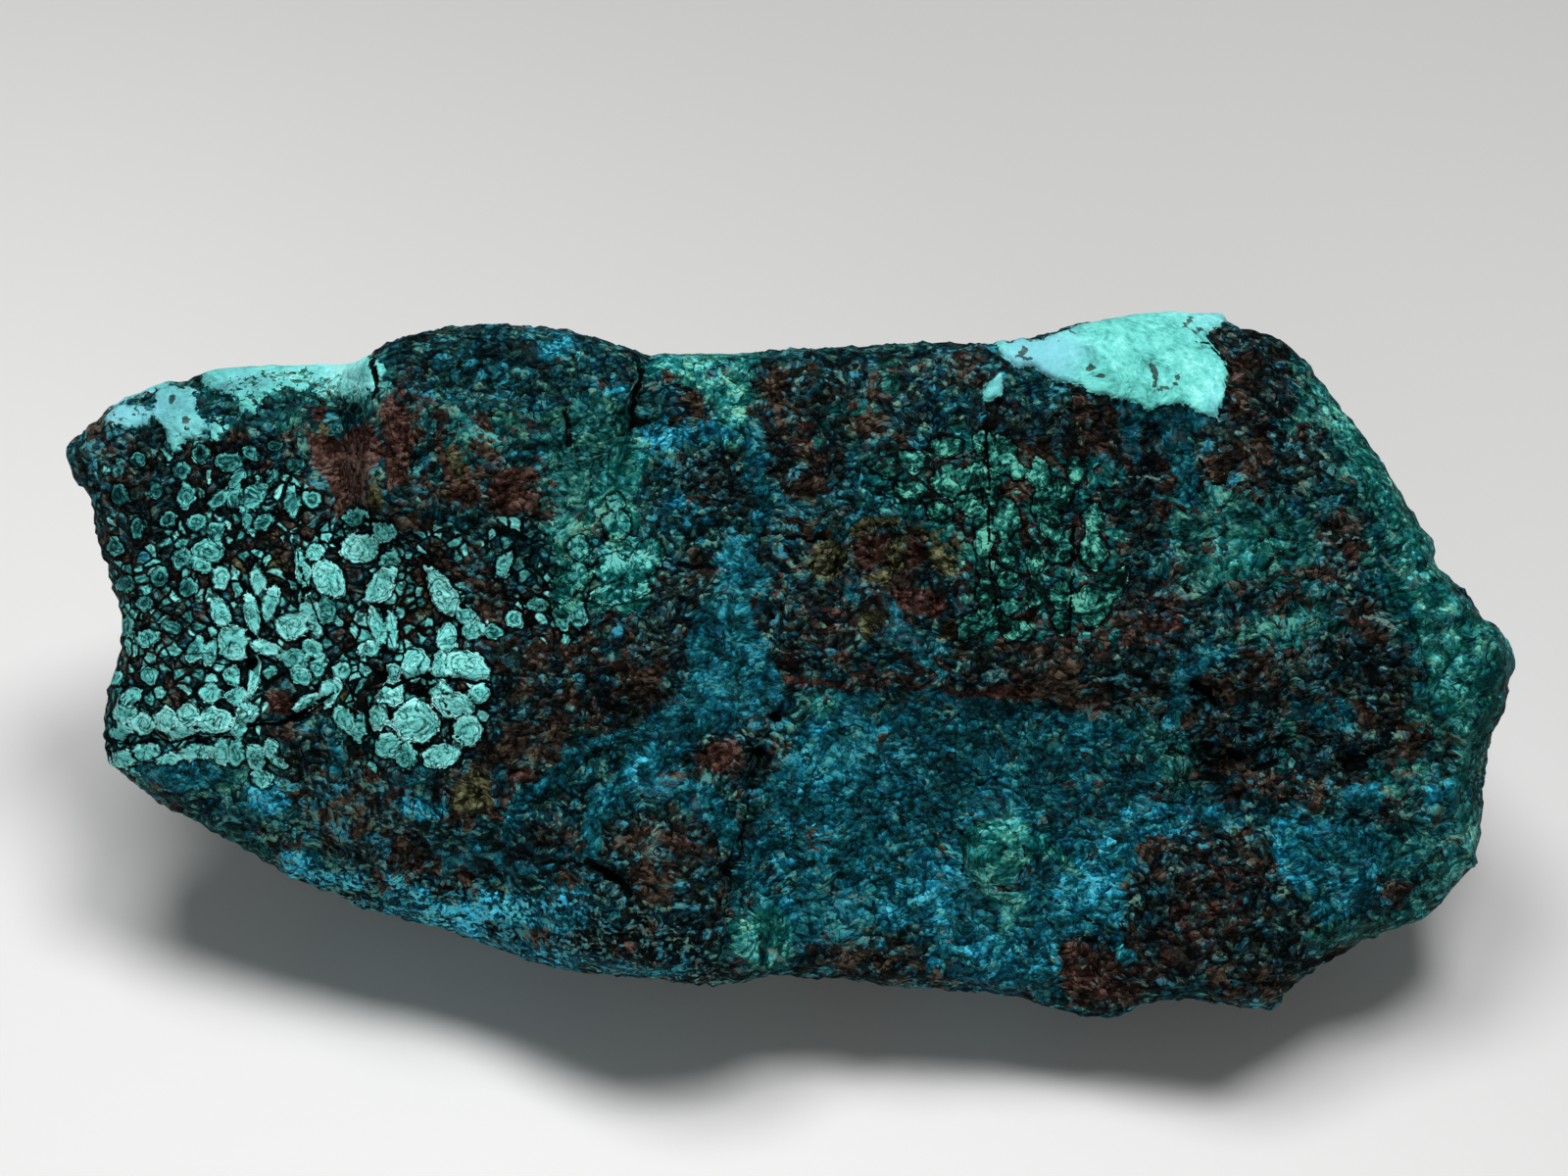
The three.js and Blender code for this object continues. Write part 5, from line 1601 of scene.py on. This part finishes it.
    def _paint(self, mesh: bpy.types.Mesh, points: np.ndarray, normals: np.ndarray) -> None:
        """Gives the mesh the attributes that the surface and the finish read.

        Args:
            mesh: The smooth mesh.
            points: Its points, in millimetres.
            normals: Their normals.
        """
        facing = normals @ self.view.axes()[2]
        shown = between(facing, *self.rim_fade)
        pixels = self.view.pixels(points)
        field = self._wandering(pixels, points, self.wander_size, self.wander)
        crisp = self._wandering(pixels, points, self.cell_wander_size, self.cell_wander)
        back = BackField(points)
        for layer, marks in MARKS.items():
            source = crisp if layer in (Layer.DARK, Layer.PALE, Layer.SKIN) else field
            front = source.cover(marks, layer.fade)
            self._store(mesh, layer.attribute, shown * front + (1 - shown) * back.cover(layer))
        depth, paleness = crisp.cells(LARGE_CELLS, self.cell_growth)
        depth = np.maximum(depth / PIXELS_PER_MM, self.outside)
        self._store(mesh, "cell_depth", np.where(shown > 0.5, depth, self.outside))
        self._store(mesh, "cell_paleness", paleness)
        skin = crisp.cover(MARKS[Layer.SKIN], Layer.SKIN.fade)
        relief = crisp.heights(RELIEF, self.relief_fade) + SKIN_THICKNESS * skin
        minerals = field.cover(MARKS[Layer.VEIN] + MARKS[Layer.GREEN], self.calm_fade)
        calm = np.maximum(skin, self.mineral_calm * minerals)
        calm = np.maximum(calm, self.cell_calm * (depth > 0))
        self._store(mesh, "relief", relief * shown)
        self._store(mesh, "calm", calm * shown)
        self._store(mesh, "hidden", between(facing, *self.chip_fade))
        self._store(mesh, "loose", np.clip(points[:, 2] / self.foot, 0, 1))
        place = mesh.attributes.new("place", "FLOAT_VECTOR", "POINT")
        place.data.foreach_set("vector", (points @ self.view.axes().T).ravel())

    def _wandering(self, pixels: np.ndarray, points: np.ndarray, size: float, reach: float) -> Field:
        """The picture's places, moved about so that the marks' outlines wander.

        Args:
            pixels: The points' places in the picture.
            points: The points, in millimetres.
            size: The size of the wander, in pixels.
            reach: How far it goes, in pixels.

        Returns:
            The field.
        """
        noise.seed_set(self.wander_seed)
        scale = PIXELS_PER_MM / size
        wide = np.array([noise.noise_vector(Vector(point * scale)) for point in points])
        fine = np.array([noise.noise_vector(Vector(point * scale * self.finer_wander)) for point in points])
        moves = (wide + self.finer_share * fine) * reach
        return Field(pixels[:, 0] + moves[:, 0], pixels[:, 1] + moves[:, 1])

    @staticmethod
    def _store(mesh: bpy.types.Mesh, name: str, values: np.ndarray) -> None:
        """Keeps a value for each point as an attribute of the mesh."""
        attribute = mesh.attributes.new(name, "FLOAT", "POINT")
        attribute.data.foreach_set("value", values.astype(np.float32))


# ---- The studio. ----


@dataclass(frozen=True)
class SoftLight:
    """A soft white light that hangs over the stone. Lengths are in metres, angles in degrees."""

    name: str
    azimuth: float
    elevation: float
    distance: float
    size: float
    power: float

    def hang(self, target: Vector) -> bpy.types.Object:
        """Hangs the light so that it shines at a point.

        Args:
            target: The point.

        Returns:
            The light.
        """
        data = bpy.data.lights.new(self.name, "AREA")
        data.shape = "DISK"
        data.size = self.size
        data.energy = self.power
        light = put(self.name, data)
        turn = math.radians(self.azimuth)
        rise = math.radians(self.elevation)
        way = Vector((math.sin(turn) * math.cos(rise), -math.cos(turn) * math.cos(rise), math.sin(rise)))
        light.location = target + way * self.distance
        light.rotation_euler = way.to_track_quat("Z", "Y").to_euler()
        return light


@dataclass(frozen=True)
class PaperFinish:
    """Matt, evenly pale paper with painted shade: its colour darkens a little towards the back and towards the
    back's right, where the lights fall off. Lengths are in metres.
    """

    front: Colour = linear(254, 254, 253)
    # the colour at the back holds painted shade, where the lights have fallen off
    back: Colour = linear(218, 217, 216)
    back_shade_fade: Range = (-0.07, 0.15)
    side_shade_fade: Range = (-0.05, 0.09)
    side_lean: float = 0.8
    # how much painted shade darkens the back's right
    side_shade: float = 0.18
    roughness: float = 0.9
    specular: float = 0.1

    def material(self) -> bpy.types.Material:
        """Makes the material.

        Returns:
            The material.
        """
        material, graph = Graph.of_material("pale paper")
        place = graph.out(graph.add("ShaderNodeTexCoord"), "Object")
        parts = graph.add("ShaderNodeSeparateXYZ", {}, {"Vector": place})
        depth = graph.out(parts, "Y")
        # painted shade: the paper darkens from the front towards the back
        colour = graph.blend(graph.step(depth, *self.back_shade_fade), self.front, self.back)
        # painted shade: the paper darkens towards the back's right
        side = graph.step(graph.out(parts, "X") + self.side_lean * depth, *self.side_shade_fade)
        colour = graph.blend(self.side_shade * side, colour, (0.0, 0.0, 0.0))
        graph.show(Base_Color=colour, Roughness=self.roughness, Specular_IOR_Level=self.specular)
        return material


@dataclass(frozen=True)
class Studio:
    """A pale floor with painted shade towards the back, soft light and the camera. Lengths are in metres."""

    view: Viewpoint
    paper: PaperFinish = PaperFinish()
    floor_size: float = 6.0
    target_height: float = 0.02
    fill: float = 0.09
    fill_colour: Colour = (0.98, 1.0, 1.0)
    lights: tuple[SoftLight, ...] = (
        SoftLight("key light", 106, 78, 0.42, 0.14, 0.89),
        SoftLight("second light", 216, 75, 0.42, 0.17, 0.8),
        SoftLight("front light", 0, 35, 0.9, 0.5, 0.65),
    )

    def build(self) -> bpy.types.Object:
        """Makes the studio.

        Returns:
            The floor.
        """
        self.view.place_camera()
        for light in self.lights:
            light.hang(Vector((0, 0, self.target_height)))
        world = bpy.data.worlds.new("soft fill")
        world.use_nodes = True
        background = world.node_tree.nodes["Background"]
        background.inputs["Color"].default_value = (*self.fill_colour, 1.0)
        background.inputs["Strength"].default_value = self.fill
        bpy.context.scene.world = world
        bpy.context.scene.view_settings.view_transform = "Standard"
        return self._floor()

    def _floor(self) -> bpy.types.Object:
        """The floor, a wide flat sheet of paper."""
        half = self.floor_size / 2
        mesh = bpy.data.meshes.new("floor")
        corners = [(-half, -half, 0), (half, -half, 0), (half, half, 0), (-half, half, 0)]
        mesh.from_pydata(corners, [], [(0, 1, 2, 3)])
        mesh.materials.append(self.paper.material())
        return put("floor", mesh)


def main() -> None:
    """Builds the studio and the stone, and reports each piece."""
    logging.basicConfig(level=logging.INFO, format="%(name)s: %(message)s")
    view = Viewpoint()
    floor = Studio(view).build()
    LOG.info("floor, lights and camera are in place")
    stone = Stone(view, ChrysocollaFinish(), BrokenSurface()).build()
    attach(stone, "root")
    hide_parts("stone")
    LOG.info("%s has %d faces", stone.name, len(stone.data.polygons))


if __name__ == "__main__":
    main()
